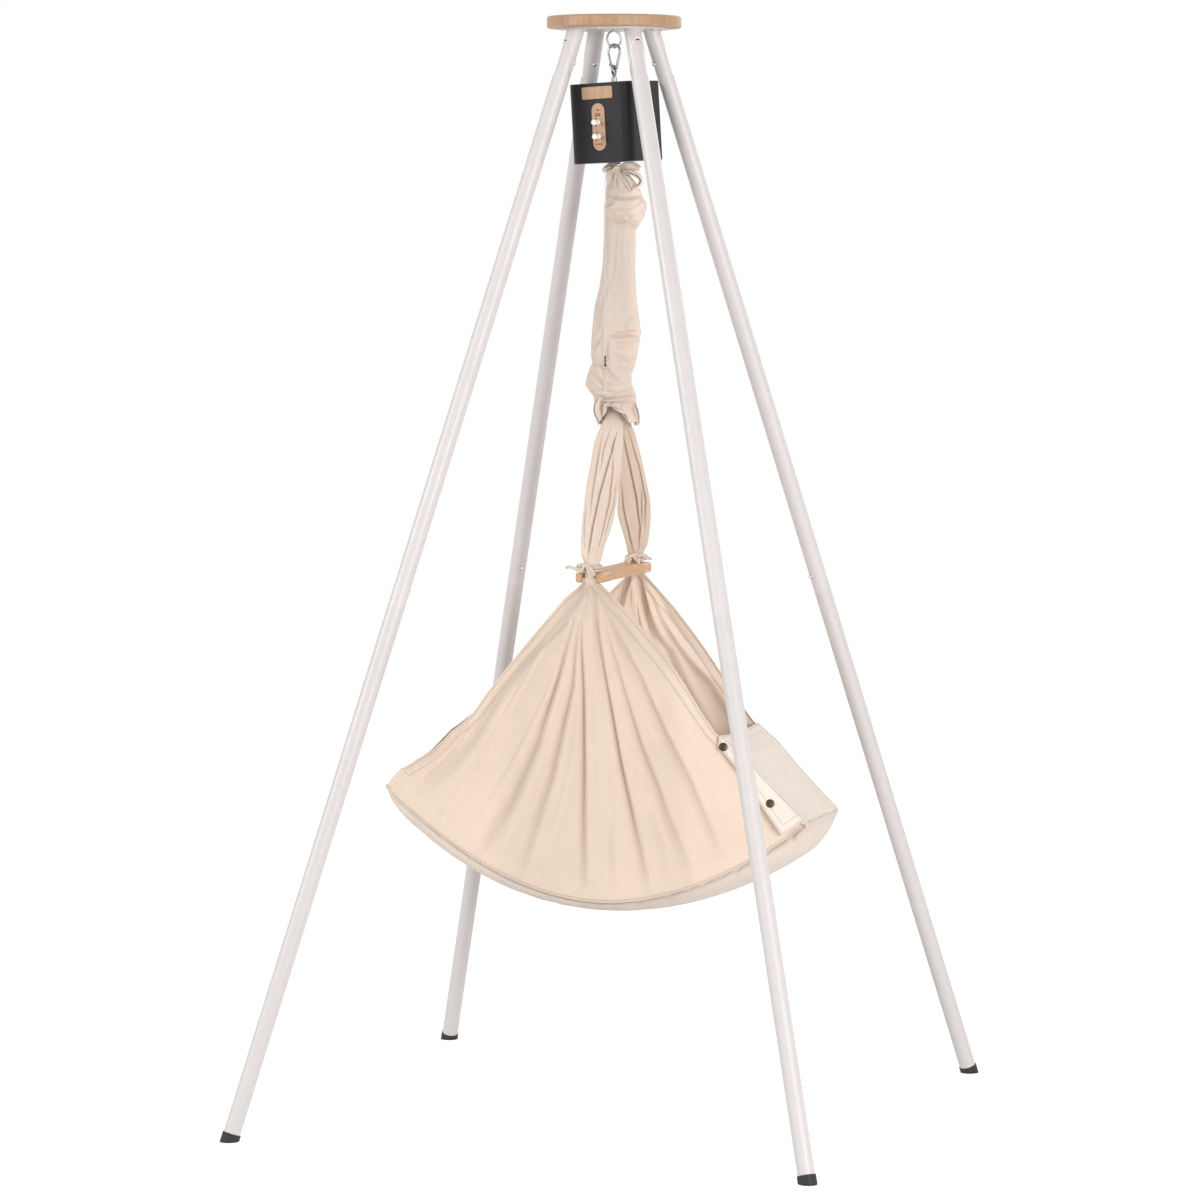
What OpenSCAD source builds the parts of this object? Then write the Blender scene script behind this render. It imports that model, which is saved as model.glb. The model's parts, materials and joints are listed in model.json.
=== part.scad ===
// Swinging cradle on a four-legged stand. A cloth cradle hangs on a spring
// below a motor, and the motor hangs from the stand's round wooden top.
// Millimetres, +Z up. The origin is on the floor under the stand's middle.
// X runs along the cradle and Y runs across it.

/* [Stand] */
// Height from the floor to the top of the wooden disc
stand_h = 2050; // [1980:10:2150]
// Distance between neighbouring feet, centre to centre
foot_span = 1100; // [1040:10:1200]
// Outside diameter of the leg tubes
tube_d = 32; // [30:1:34]
// Wall of the leg tubes
tube_wall = 1.5; // [1.2:0.1:2]
// Distance from the stand's axis to a leg's axis at the plate
leg_top_r = 78; // [74:1:80]
// Length of the tube stubs below the plate
stub_len = 93; // [85:1:110]
// Length of an upper leg between its two joint lines
upper_leg_len = 1028; // [900:4:1100]
// Length of the reduced tube end that goes up into the piece above
spigot_len = 65; // [60:1:80]
// Radial gap between a reduced end and the tube round it
spigot_gap = 0.1; // [0.05:0.05:0.2]
// Length of rubber between a leg's tube and the floor, on the leg's axis
foot_rise = 15; // [12:1:20]
// Radius that a rubber foot stands proud of its tube
foot_proud = 1.2; // [0.5:0.1:2]
// Length of the foot's plug inside the tube
foot_plug_len = 24; // [16:1:40]

/* [Top] */
// Diameter of the wooden disc
disc_d = 250; // [230:1:300]
// Thickness of the wooden disc
disc_t = 22; // [18:1:30]
// Radius of the disc's rounded edges
disc_round = 4; // [2:0.5:6]
// Diameter of the steel plate below the disc
plate_d = 200; // [190:1:220]
// Thickness of the steel plate
plate_t = 3; // [2:0.5:4]
// Diameter of the circle that the disc's screws stand on
screw_circle_d = 160; // [150:1:168]

/* [Snap buttons] */
// Diameter of the button that shows through the tube
button_d = 8.4; // [7:0.1:9]
// Height that a button stands out of its tube
button_proud = 3; // [2:0.5:4]
// Distance from a joint line up to its button
button_rise = 33; // [28:1:40]
// Clearance round a button in its holes
button_gap = 0.2; // [0.1:0.05:0.4]
// Diameter of the flange that keeps a button inside
button_flange_d = 12; // [11:0.5:13]
// Thickness of the leaf springs and of the buttons' flanges
leaf_t = 0.8; // [0.6:0.1:1.2]

/* [Hanging gear] */
// Outside diameter of the ring under the plate
ring_od = 34; // [30:1:44]
// Wire diameter of that ring
ring_wire = 4; // [3:0.5:5]
// Turn of the ring's plane from the X axis
ring_turn = 49.5; // [30:0.5:70]
// Overall length of the snap hook
hook_len = 50; // [48:1:60]
// Wire diameter of the snap hook
hook_wire = 5; // [4.5:0.5:5.5]
// Mean radius of the snap hook's wide end
hook_top_r = 12.5; // [11:0.5:14]
// Mean radius of the snap hook's narrow end
hook_bottom_r = 5.5; // [5.5:0.25:6.5]
// Mean radius of the swivel's eye
eye_r = 7; // [6.5:0.5:9]
// Wire diameter of the swivel's eye
eye_wire = 5; // [4:0.5:5]
// Height of the swivel's socket above the case
socket_h = 10.5; // [10:0.5:14]
// Outside diameter of the swivel's socket
socket_d = 11; // [10:0.5:14]
// Gap where one hanging piece rests on the next
seat_gap = 0.3; // [0.2:0.05:0.4]

/* [Motor case] */
// Width of the case across its front
case_w = 130; // [120:1:150]
// Depth of the case from front to back
case_depth = 130; // [120:1:150]
// Height of the case
case_h = 147; // [145:1:165]
// Radius of the case's upright corners
case_round = 18; // [14:1:22]
// Wall of the case
case_wall = 3; // [2:0.5:4]
// Turn of the case's front from the X axis
case_turn = -10.5; // [-20:0.5:0]
// Lean of the case out of plumb
case_lean = 3.2; // [0:0.1:3.5]
// Width of the wooden label plate
label_w = 64; // [40:1:80]
// Height of the wooden label plate
label_h = 22.5; // [15:0.5:25]
// Distance from the case's top edge to the label's middle
label_drop = 18; // [16:0.5:22]
// Width of the wooden control strip
strip_w = 26.5; // [22:0.5:32]
// Height of the wooden control strip
strip_h = 87; // [84:1:92]
// Distance from the case's top edge to the strip's middle
strip_drop = 81; // [79:1:84]
// Thickness of the label and of the strip
wood_t = 2; // [1.5:0.5:3]
// Diameter of a control knob
knob_d = 11; // [9:0.5:13]
// Length of a control knob
knob_len = 19; // [14:1:24]
// Distance from the strip's middle up to the upper knob
knob_up = 8.5; // [7:0.5:11]
// Distance from the strip's middle down to the lower knob
knob_down = 17.5; // [14:0.5:20]

/* [Drive] */
// Diameter of the rod that carries the spring
plunger_d = 18; // [16:1:20]
// Way that the rod travels down from rest
drive_stroke = 16; // [10:1:18]
// Diameter of the drive screw
screw_d = 10; // [8:1:11]
// Diameter of the gear motor
gearmotor_d = 37; // [30:1:42]
// Gap of sliding and turning fits, on the radius
running_gap = 0.05; // [0.03:0.01:0.1]

/* [Spring and sleeve] */
// Distance between the spring's two hooks, wire centre to wire centre
spring_len = 408; // [380:1:430]
// Wire diameter of the spring
spring_wire = 4; // [3.5:0.1:4.2]
// Mean radius of the coils
spring_r = 14; // [12:0.5:14]
// Rise of one curl
spring_pitch = 6.45; // [6:0.05:6.7]
// Number of curls
spring_turns = 29; // [24:1:31]
// Mean radius of the spring's hooks
spring_hook_r = 8; // [7.5:0.1:8.5]
// Length of the straight wire between the upper hook and the curls
spring_shank = 58; // [50:1:70]
// Diameter of the safety cord
cord_d = 1.6; // [1.4:0.1:2]
// Drop of the safety cord's upper stretch, from the plunger to its hook
cord_upper_len = 352; // [340:1:360]
// Distance of the safety cord in front of the spring's axis
cord_out = 50; // [49:1:56]

/* [Cradle] */
// Outside diameter of the ring that carries the cloth
hanger_od = 46; // [44:1:48]
// Wire diameter of that ring
hanger_wire = 5; // [4:0.5:5]
// Distance from the cloth's seat on that ring down to the spreader bar
bar_drop = 307; // [280:1:330]
// Length of the spreader bar
bar_len = 290; // [270:1:320]
// Width of the bar's forked ends
fork_w = 53; // [48:1:60]
// Width of the bar between the forks
bar_w = 38; // [32:1:44]
// Thickness of the bar
bar_t = 20; // [18:1:24]
// Width of the slot in each fork
slot_w = 25; // [24:1:27]
// Depth of the slot in each fork
slot_depth = 36; // [34:1:42]
// Half of the cradle's length at its seam
bed_half = 412; // [380:1:440]
// Half of the cradle's width at its middle
bed_half_w = 160; // [150:1:175]
// Amount by which each side draws in towards the ends
bed_draw_in = 60; // [40:1:70]
// Distance from the bar down to the seam's lowest point
seam_drop = 597; // [560:1:620]
// Height that the seam climbs to the left end
seam_rise_left = 190; // [150:1:210]
// Height that the seam climbs to the right end
seam_rise_right = 156; // [130:1:180]
// Place of the seam's lowest point along the cradle
seam_low_x = 30; // [0:1:40]
// Depth of the mattress pocket below the seam's lowest point
pocket_depth = 32; // [28:1:45]
// Thickness of the cloth, lining and all
cloth_t = 2.4; // [1.6:0.1:3]
// Height of the mattress's crown above the seam
crown_h = 8; // [4:1:14]
// Number of pleats in each side's cloth
pleats = 6; // [5:1:9]
// Diameter of the press studs' caps
stud_d = 16; // [12:0.5:18]
// Diameter of the cords tied round the cloth at the bar
tie_d = 4; // [3:0.5:4]

/* [Hidden] */
$fn = 64;
eps = 0.01;

white = [0.90, 0.88, 0.87];
beech = [0.88, 0.69, 0.53];
steel = [0.62, 0.60, 0.58];
zinc = [0.74, 0.73, 0.72];
black = [0.08, 0.08, 0.08];
charcoal = [0.24, 0.24, 0.25];
cream = [0.94, 0.86, 0.77];
pale = [0.95, 0.91, 0.86];
bronze = [0.22, 0.18, 0.15];
board_green = [0.10, 0.32, 0.20];

// Legs: each leg's own Z runs down its axis from the plate, and X points in
plate_z = stand_h - disc_t - plate_t;
foot_r = foot_span / sqrt(2);
splay = atan((foot_r - leg_top_r) / plate_z);
leg_len = plate_z / cos(splay);
tube_r = tube_d / 2;
tube_bore_r = tube_r - tube_wall;
spigot_r = tube_bore_r - spigot_gap;
spigot_bore_r = spigot_r - tube_wall;
joint_s = [stub_len, stub_len + upper_leg_len];
tube_end_s = leg_len - foot_rise;
swage_len = 20;
foot_r_out = tube_r + foot_proud;
plug_gap = 0.1;

// Snap buttons
flange_top = sqrt(pow(spigot_bore_r, 2) - pow(button_flange_d / 2, 2)) - 0.1;
button_travel = tube_r + button_proud - spigot_r + 0.2;
leaf_w = 8;
leaf_len = 40;
leaf_seat = sqrt(pow(spigot_bore_r, 2) - pow(leaf_w / 2, 2)) - 0.05;

// Ring, snap hook and swivel, from the plate down
ring_r = (ring_od - ring_wire) / 2;
ring_z = plate_z - ring_od / 2;
swing_a_z = ring_z - ring_r;
hook_top_z = swing_a_z + (ring_wire + hook_wire) / 2 + seat_gap;
hook_mid_z = hook_top_z - hook_top_r;
swing_b_z = hook_top_z - (hook_len - hook_wire);
hook_low_z = swing_b_z + hook_bottom_r;
hook_span = hook_mid_z - hook_low_z;
hook_taper = asin((hook_top_r - hook_bottom_r) / hook_span);
hook_foot = [-hook_bottom_r * cos(hook_taper), -hook_bottom_r * sin(hook_taper)];
gate_dir = [-sin(hook_taper), cos(hook_taper)];
gate_hinge = hook_foot + 4 * gate_dir;
nose_angle = 178;
nose_y = hook_span + hook_top_r * sin(nose_angle);
nose_d = hook_wire + 1.6;
gate_len = (nose_y - gate_hinge[1]) / gate_dir[1] - 2.3;
gate_pin_r = 1;
gate_slot = 2.4;
gate_tongue = 2.2;
eye_z = swing_b_z + (hook_wire + eye_wire) / 2 + seat_gap - eye_r;
socket_top_z = eye_z - eye_r - eye_wire / 2 - 3.6;
case_top_z = socket_top_z - socket_h;
shank_r = 2.3;
shank_head_r = 3.8;
shank_head_h = 2.4;
socket_roof = 4.3;
stud_r = 4;
stud_len = 12;
bolt_r = 4;
nut_w = 13;
nut_h = 6.5;
nut_pocket_d = 19;
nut_pocket_h = 12;

// Motor case, in its own frame: the front looks to -Y and Z is 0 at its top
lean_dir = case_turn - 60;
case_low_z = case_top_z - case_h;
face_y = -case_depth / 2;
back_gap = 0.2;
back_w = case_w - 2 * case_round + 10;
back_h = case_h - 20;
boss_r = 5;
boss_in = 8;
case_screw_r = 1.5;
knob_shaft_r = 2;
led_r = 2;
led_up = 31;
board_w = 60;
board_h = 100;
board_t = 1.6;
board_gap = 3.4;

// Drive, on the plumb line through the swivel and the spring
frame_w = 44;
frame_d = 30;
frame_t = 3;
frame_top_z = case_top_z - case_wall - 1.6;
frame_low_z = case_low_z + case_wall + 2.6;
frame_nut_h = 6;
gearmotor_top_z = frame_top_z - frame_t - frame_nut_h - 0.5;
gearmotor_h = 62;
gearmotor_low_z = gearmotor_top_z - gearmotor_h;
collar_d = 14;
collar_h = 6;
output_r = 3;
output_len = 8;
screw_top_z = gearmotor_low_z - 0.5;
screw_low_z = frame_low_z + 10;
plunger_top_z = screw_top_z - collar_h - 2;
plunger_low_z = case_low_z - 4.5;
plunger_floor_z = screw_low_z - 2;
flat_out = plunger_d / 2 - 1.5;
tab_t = 6;
tab_w = 14;
tab_hole_r = 4.5;
tab_hole_z = plunger_low_z - 9;
tab_low_z = tab_hole_z - 9;
bush_r = 12;
bush_low_z = case_low_z - 3.4;

// Spring, hooked into the plunger above and under the hanger ring below
tab_drop = spring_hook_r - sqrt(pow(spring_hook_r, 2) - pow(tab_t / 2, 2));
spring_top_z = tab_hole_z - tab_hole_r + spring_wire * 0.54 + seat_gap + tab_drop;
spring_low_z = spring_top_z - spring_len;
curl_top_z = spring_top_z - spring_hook_r - spring_shank;
curl_low_z = curl_top_z - spring_turns * spring_pitch;
curl_rings = 8;
wire_sides = 6;

// Hanger ring and the cloth's seat on its lower wire
hanger_r = (hanger_od - hanger_wire) / 2;
hanger_top_z = spring_low_z + (spring_wire + hanger_wire) / 2 + seat_gap;
hanger_z = hanger_top_z - hanger_r;
hanger_low_z = hanger_z - hanger_r;

// Sleeve: [drop from its top edge, outer radius, shift to the side]
sleeve_top_z = case_low_z - 8.6;
sleeve_rows = [
  [0, 35, 10], [6, 37, 11], [18, 33, 12], [36, 31, 13], [56, 38, 17],
  [86, 37, 17], [112, 33, 11], [132, 27.5, 6], [176, 31.5, 4],
  [214, 36, 3], [248, 40, 2], [276, 43, 0], [312, 47, 2], [352, 45, -4],
  [398, 46, -9], [420, 39, -2], [436, 36, 3], [456, 40, 4], [480, 41, 2]
];
sleeve_sides = 12;
sleeve_bore_top = 18.5;
sleeve_bore_low = 25;
sleeve_widens = 340;
sleeve_mouth = 33;

// Spreader bar and cradle
bar_z = hanger_low_z - bar_drop;
gather_y = bar_len / 2 - 14;
gather_half = slot_w / 2 - 0.6;
gather_thick = 9.3;
gather_low = bar_t / 2 + 1;
tie_rise = bar_t / 2 + 14;
tie_in = 5.8;
seam_low_z = bar_z - seam_drop;
pocket_low_z = seam_low_z - pocket_depth;
pocket_low_x = 25;
pocket_rise_left = 160;
pocket_rise_right = 136;
end_round = 40;
fan_span = bed_half - 4;
hem_sag = 28;
panel_lift = 0.62;
pleat_depth = 6;
fan_cols = 4 * pleats;
fan_slot = gather_low / seam_drop;
fan_rows = [0, fan_slot, 0.05, 0.12, 0.25, 0.42, 0.6, 0.7, 0.8, 0.9, 1];
panel_rise = 1.6;
panel_out = 4.6;
flap_min = 8;
flap_top = 18;
flap_grow = 140;
flap_clear = 5;
flap_flare = 0.26;
stud_t = 3.5;
stud_gap = 0.8;
stud_steps = [0.625, 0.747, 0.847];

NEAR = -1;
FAR = 1;
LEFT = -1;
RIGHT = 1;

// ---- General helpers -------------------------------------------------------

function unit(v) = v / norm(v);
function mix(a, b, t) = a + (b - a) * t;
function clamp(v, low, high) = min(max(v, low), high);

function tangents(p) = [
  for (i = [0:len(p) - 1]) unit(p[min(i + 1, len(p) - 1)] - p[max(i - 1, 0)])
];

// Carries one side direction along a route without twisting it
function carried(t, n, i = 0, done = []) =
  i == len(t) ? done :
  let (m = unit(n - t[i] * (n * t[i])))
  carried(t, m, i + 1, concat(done, [m]));

function tube_rings(p, r, sides, start) =
  let (t = tangents(p), n = carried(t, start))
  [for (i = [0:len(p) - 1])
    let (b = cross(t[i], n[i]))
    [for (k = [0:sides - 1])
      p[i] + r * (cos(360 * k / sides) * n[i] + sin(360 * k / sides) * b)]];

function joined(lists) = [for (l = lists) each l];

// Triangles of a closed loft through rings of the same number of points
function loft_faces(rings, sides) = concat(
  [for (i = [0:rings - 2]) for (k = [0:sides - 1])
    let (a = i * sides + k, b = i * sides + (k + 1) % sides)
    each [[a, b, b + sides], [a, b + sides, a + sides]]],
  [for (k = [0:sides - 1])
    each [[rings * sides, (k + 1) % sides, k],
      [rings * sides + 1, (rings - 1) * sides + k,
       (rings - 1) * sides + (k + 1) % sides]]]
);

function middle(ring) = [
  for (axis = [0:2]) [for (p = ring) p[axis]] * [for (p = ring) 1] / len(ring)
];

// Closed solid through a list of rings; turned makes the rings run clockwise
module loft(rings, turned = false) {
  last = len(rings) - 1;
  faces = loft_faces(len(rings), len(rings[0]));
  polyhedron(
    concat(joined(rings), [middle(rings[0]), middle(rings[last])]),
    turned ? faces : [for (f = faces) [f[2], f[1], f[0]]]
  );
}

// Closed solid between two equal grids of points, such as a cloth's two faces
function sheet_faces(rows, cols) =
  let (n = rows * cols)
  concat(
    [for (r = [0:rows - 2]) for (c = [0:cols - 2])
      let (a = r * cols + c, d = a + cols)
      each [[a, a + 1, d + 1], [a, d + 1, d],
        [n + a, n + d + 1, n + a + 1], [n + a, n + d, n + d + 1]]],
    [for (c = [0:cols - 2])
      let (a = c, b = (rows - 1) * cols + c)
      each [[a, n + a, n + a + 1], [a, n + a + 1, a + 1],
        [b, b + 1, n + b + 1], [b, n + b + 1, n + b]]],
    [for (r = [0:rows - 2])
      let (a = r * cols, b = a + cols - 1)
      each [[a, a + cols, n + a + cols], [a, n + a + cols, n + a],
        [b, n + b, n + b + cols], [b, n + b + cols, b + cols]]]
  );

module sheet(front, back, turned = false) {
  faces = sheet_faces(len(front), len(front[0]));
  polyhedron(
    concat(joined(front), joined(back)),
    turned ? [for (f = faces) [f[2], f[1], f[0]]] : faces
  );
}

// Stretch of round wire bent to an arc in the XY plane
module wire_arc(r, wire, from, to) {
  rotate([0, 0, from])
    rotate_extrude(angle = to - from)
      translate([r, 0]) circle(d = wire, $fn = 32);
}

// Stands children up, so that their X runs at the given turn and Y runs up
module upright(turn, z) {
  translate([0, 0, z]) rotate([0, 0, turn]) rotate([90, 0, 0]) children();
}

module rounded_rect(w, h, r) {
  square([w - 2 * r, h], center = true);
  square([w, h - 2 * r], center = true);
  for (x = [-1, 1]) for (y = [-1, 1])
    translate([x * (w / 2 - r), y * (h / 2 - r)]) circle(r = r);
}

module ring_tube(r_out, r_in, from, to) {
  difference() {
    translate([0, 0, from]) cylinder(r = r_out, h = to - from);
    translate([0, 0, from - 1]) cylinder(r = r_in, h = to - from + 2);
  }
}

// ---- Stand -----------------------------------------------------------------

module on_leg(i) {
  rotate([0, 0, 45 + 90 * i])
    translate([leg_top_r, 0, plate_z])
      rotate([0, 180 - splay, 0]) children();
}

module button_hole(joint) {
  translate([0, 0, joint - button_rise]) rotate([0, 90, 0])
    cylinder(d = button_d + 2 * button_gap, h = tube_d);
}

module top_disc() {
  r = disc_round;
  color(beech) difference() {
    translate([0, 0, stand_h - disc_t]) rotate_extrude($fn = 96) {
      square([disc_d / 2 - r, disc_t]);
      translate([0, r]) square([disc_d / 2, disc_t - 2 * r]);
      translate([disc_d / 2 - r, r]) circle(r = r, $fn = 32);
      translate([disc_d / 2 - r, disc_t - r]) circle(r = r, $fn = 32);
    }
    translate([0, 0, stand_h - disc_t - 1])
      cylinder(d = nut_pocket_d, h = nut_pocket_h + 1);
    for (i = [0:3]) rotate([0, 0, 90 * i])
      translate([screw_circle_d / 2, 0, stand_h - disc_t - 1])
        cylinder(r = 2 + running_gap, h = 16);
  }
}

module top_bracket() {
  color(white) difference() {
    union() {
      translate([0, 0, plate_z]) cylinder(d = plate_d, h = plate_t, $fn = 96);
      for (i = [0:3]) intersection() {
        on_leg(i) translate([0, 0, -tube_d])
          cylinder(r = tube_r, h = stub_len + tube_d);
        translate([0, 0, plate_z - 2 * stub_len])
          cylinder(d = plate_d, h = 2 * stub_len + 1);
      }
    }
    for (i = [0:3]) difference() {
      on_leg(i) translate([0, 0, -tube_d])
        cylinder(r = tube_bore_r, h = stub_len + tube_d + 1);
      translate([0, 0, plate_z]) cylinder(d = plate_d, h = tube_d * 2);
    }
    for (i = [0:3]) on_leg(i) button_hole(stub_len);
    translate([0, 0, plate_z - 1])
      cylinder(r = bolt_r + running_gap, h = plate_t + 2);
    for (i = [0:3]) rotate([0, 0, 90 * i])
      translate([screw_circle_d / 2, 0, plate_z - 1])
        cylinder(r = 2.5, h = plate_t + 2);
  }
}

module disc_screws() {
  color(zinc) for (i = [0:3]) rotate([0, 0, 90 * i])
    translate([screw_circle_d / 2, 0, plate_z]) {
      cylinder(r = 2, h = plate_t + 12);
      translate([0, 0, -3]) rotate_extrude()
        polygon([[0, 0], [2.6, 0.3], [4.2, 1.6], [4.5, 3], [0, 3]]);
    }
}

module eye_bolt() {
  color(zinc) {
    upright(ring_turn, ring_z) wire_arc(ring_r, ring_wire, 0, 360);
    translate([0, 0, ring_z + ring_r])
      cylinder(r = bolt_r, h = plate_z + plate_t + 11 - ring_z - ring_r);
  }
}

module eye_nut() {
  color(zinc) translate([0, 0, plate_z + plate_t]) difference() {
    cylinder(d = nut_w / cos(30), h = nut_h, $fn = 6);
    translate([0, 0, -1]) cylinder(r = bolt_r + running_gap, h = nut_h + 2);
  }
}

// A leg tube whose reduced upper end goes into the piece above it
module leg_tube(i, from, to, holes) {
  color(white) on_leg(i) difference() {
    union() {
      translate([0, 0, from]) cylinder(r = tube_r, h = to - from);
      translate([0, 0, from - spigot_len])
        cylinder(r = spigot_r, h = spigot_len + 1);
    }
    translate([0, 0, from - spigot_len - 1])
      cylinder(r = spigot_bore_r, h = spigot_len + swage_len + 2);
    translate([0, 0, from + swage_len])
      cylinder(r = tube_bore_r, h = to - from);
    for (joint = holes) button_hole(joint);
  }
}

module upper_leg(i) {
  leg_tube(i, joint_s[0], joint_s[1], joint_s);
}

module lower_leg(i) {
  leg_tube(i, joint_s[1], tube_end_s, [joint_s[1]]);
}

module foot_cap(i) {
  color(black) difference() {
    on_leg(i) union() {
      translate([0, 0, tube_end_s]) cylinder(r = foot_r_out, h = 2 * foot_rise);
      translate([0, 0, tube_end_s - foot_plug_len])
        cylinder(r1 = tube_bore_r - 1.5, r2 = tube_bore_r - plug_gap,
                 h = foot_plug_len + 1);
    }
    translate([-foot_span, -foot_span, -100])
      cube([2 * foot_span, 2 * foot_span, 100]);
  }
}

// Button 1 to 4 lock the upper joints of legs 1 to 4, and 5 to 8 the lower
module snap_button(i, joint) {
  tip = tube_r + button_proud;
  r = button_d / 2;
  color(zinc) on_leg(i) translate([0, 0, joint - button_rise])
    rotate([0, 90, 0]) rotate_extrude() {
      square([r, tip - r * 0.45]);
      polygon([[0, tip - r * 0.45 - eps], [r, tip - r * 0.45 - eps],
               [r * 0.9, tip - r * 0.2], [r * 0.6, tip - r * 0.05], [0, tip]]);
      translate([0, flange_top - leaf_t * 1.5])
        square([button_flange_d / 2, leaf_t * 1.5]);
    }
}

module snap_springs() {
  tip_x = flange_top - leaf_t * 1.5 - button_travel - 1;
  color(steel) for (i = [0:3]) for (joint = joint_s)
    on_leg(i) translate([0, 0, joint - button_rise])
      rotate([90, 0, 0]) linear_extrude(leaf_w, center = true) {
        polygon([
          [-leaf_seat, -12], [-leaf_seat + leaf_t, -12],
          [-leaf_seat + leaf_t, leaf_len - 22],
          [-leaf_seat + leaf_t * 3, leaf_len - 20],
          [tip_x - leaf_t, 9], [tip_x, 9.6],
          [-leaf_seat + leaf_t * 3, leaf_len - 17],
          [-leaf_seat, leaf_len - 19]
        ]);
      }
}

// ---- Ring, snap hook and swivel --------------------------------------------

// Straight stretch of the hook's wire, a little thicker than its bends
module hook_bar(x, y, turn, from, to, d = hook_wire + 0.3) {
  translate([x, y, 0]) rotate([0, 0, turn]) rotate([-90, 0, 0])
    translate([0, 0, from]) cylinder(d = d, h = to - from, $fn = 32);
}

module carabiner() {
  lap = 0.4;
  side_len = hook_span * cos(hook_taper);
  color(steel) upright(case_turn, hook_low_z) {
    difference() {
      union() {
        translate([0, hook_span, 0])
          wire_arc(hook_top_r, hook_wire, -hook_taper, nose_angle);
        hook_bar(hook_top_r * cos(nose_angle), nose_y, nose_angle, -2.5, 1, nose_d);
        hook_bar(-hook_foot[0], hook_foot[1], -hook_taper, -lap, side_len + lap);
        wire_arc(hook_bottom_r, hook_wire, 180 + hook_taper, 360 - hook_taper);
        hook_bar(hook_foot[0], hook_foot[1], hook_taper, -lap, 3);
        translate([gate_hinge[0], gate_hinge[1], 0])
          cylinder(d = hook_wire + 1.4, h = hook_wire, center = true, $fn = 32);
      }
      translate([gate_hinge[0], gate_hinge[1], 0])
        cylinder(r = 3.6, h = gate_slot, center = true, $fn = 32);
    }
    translate([gate_hinge[0], gate_hinge[1], 0])
      cylinder(r = gate_pin_r, h = hook_wire, center = true, $fn = 32);
  }
}

module carabiner_gate() {
  color(steel) upright(case_turn, hook_low_z)
    translate([gate_hinge[0], gate_hinge[1], 0]) rotate([0, 0, hook_taper])
      difference() {
        union() {
          cylinder(r = 3, h = gate_tongue, center = true, $fn = 32);
          translate([-1.8, 0, -gate_tongue / 2]) cube([3.6, 6, gate_tongue]);
          translate([0, 4.6, 0]) rotate([-90, 0, 0])
            cylinder(d = 4.4, h = gate_len - 4.6, $fn = 32);
        }
        cylinder(r = gate_pin_r + running_gap, h = 10, center = true, $fn = 32);
      }
}

module swivel_eye() {
  neck_top = eye_z - eye_r - eye_wire * 0.2;
  neck_low = socket_top_z + 0.6;
  head_top = socket_top_z - socket_roof - seat_gap;
  color(steel) {
    upright(case_turn + 90, eye_z) wire_arc(eye_r, eye_wire, 0, 360);
    rotate_extrude() polygon([
      [0, neck_top], [4.6, neck_top], [4.2, neck_low + 1.6],
      [shank_r, neck_low], [shank_r, head_top], [shank_head_r, head_top],
      [shank_head_r, head_top - shank_head_h], [0, head_top - shank_head_h]
    ]);
  }
}

module swivel_base() {
  roof_z = socket_top_z - socket_roof;
  color(steel) difference() {
    union() {
      translate([0, 0, case_top_z - 2])
        cylinder(d = socket_d, h = socket_h + 2);
      translate([0, 0, case_top_z - 2]) cylinder(d = socket_d + 4, h = 3.4);
      translate([0, 0, case_top_z - stud_len]) cylinder(r = stud_r, h = stud_len);
    }
    translate([0, 0, roof_z - 4.4]) cylinder(r = shank_head_r + 0.4, h = 4.4);
    translate([0, 0, roof_z - 1])
      cylinder(r = shank_r + running_gap, h = socket_roof + 2);
    on_case() translate([0, 0, -2.5]) difference() {
      cube([40, 40, 5], center = true);
      cylinder(r = stud_r + 0.5, h = 6, center = true);
    }
  }
}

// ---- Motor case ------------------------------------------------------------

module on_case() {
  translate([0, 0, case_top_z])
    rotate(a = case_lean, v = [cos(lean_dir), sin(lean_dir), 0])
      rotate([0, 0, case_turn]) children();
}

// Puts children on the front face: X across it, Y up it, Z out of it
module on_front(up, out = 0) {
  translate([0, face_y - out, up]) rotate([90, 0, 0]) children();
}

module case_block(w, d, h, r) {
  translate([0, 0, -h]) linear_extrude(h) rounded_rect(w, d, r);
}

module back_bosses(r, from, len) {
  for (x = [-1, 1]) for (z = [-1, 1])
    translate([x * (back_w / 2 - boss_in), case_depth / 2 - from,
               -case_h / 2 + z * (back_h / 2 - boss_in)])
      rotate([90, 0, 0]) cylinder(r = r, h = len);
}

module board_posts(r, len) {
  for (x = [-1, 1]) for (z = [-1, 1])
    translate([x * (board_w / 2 - 4), face_y + case_wall - eps,
               -strip_drop + z * (board_h / 2 - 4)])
      rotate([-90, 0, 0]) cylinder(r = r, h = len + eps);
}

module case_edge(z, bevel) {
  hull() {
    translate([0, 0, z]) linear_extrude(eps)
      rounded_rect(case_w, case_depth, case_round, $fn = 32);
    translate([0, 0, z + bevel]) linear_extrude(eps)
      rounded_rect(case_w - 2, case_depth - 2, case_round - 1, $fn = 32);
  }
}

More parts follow.
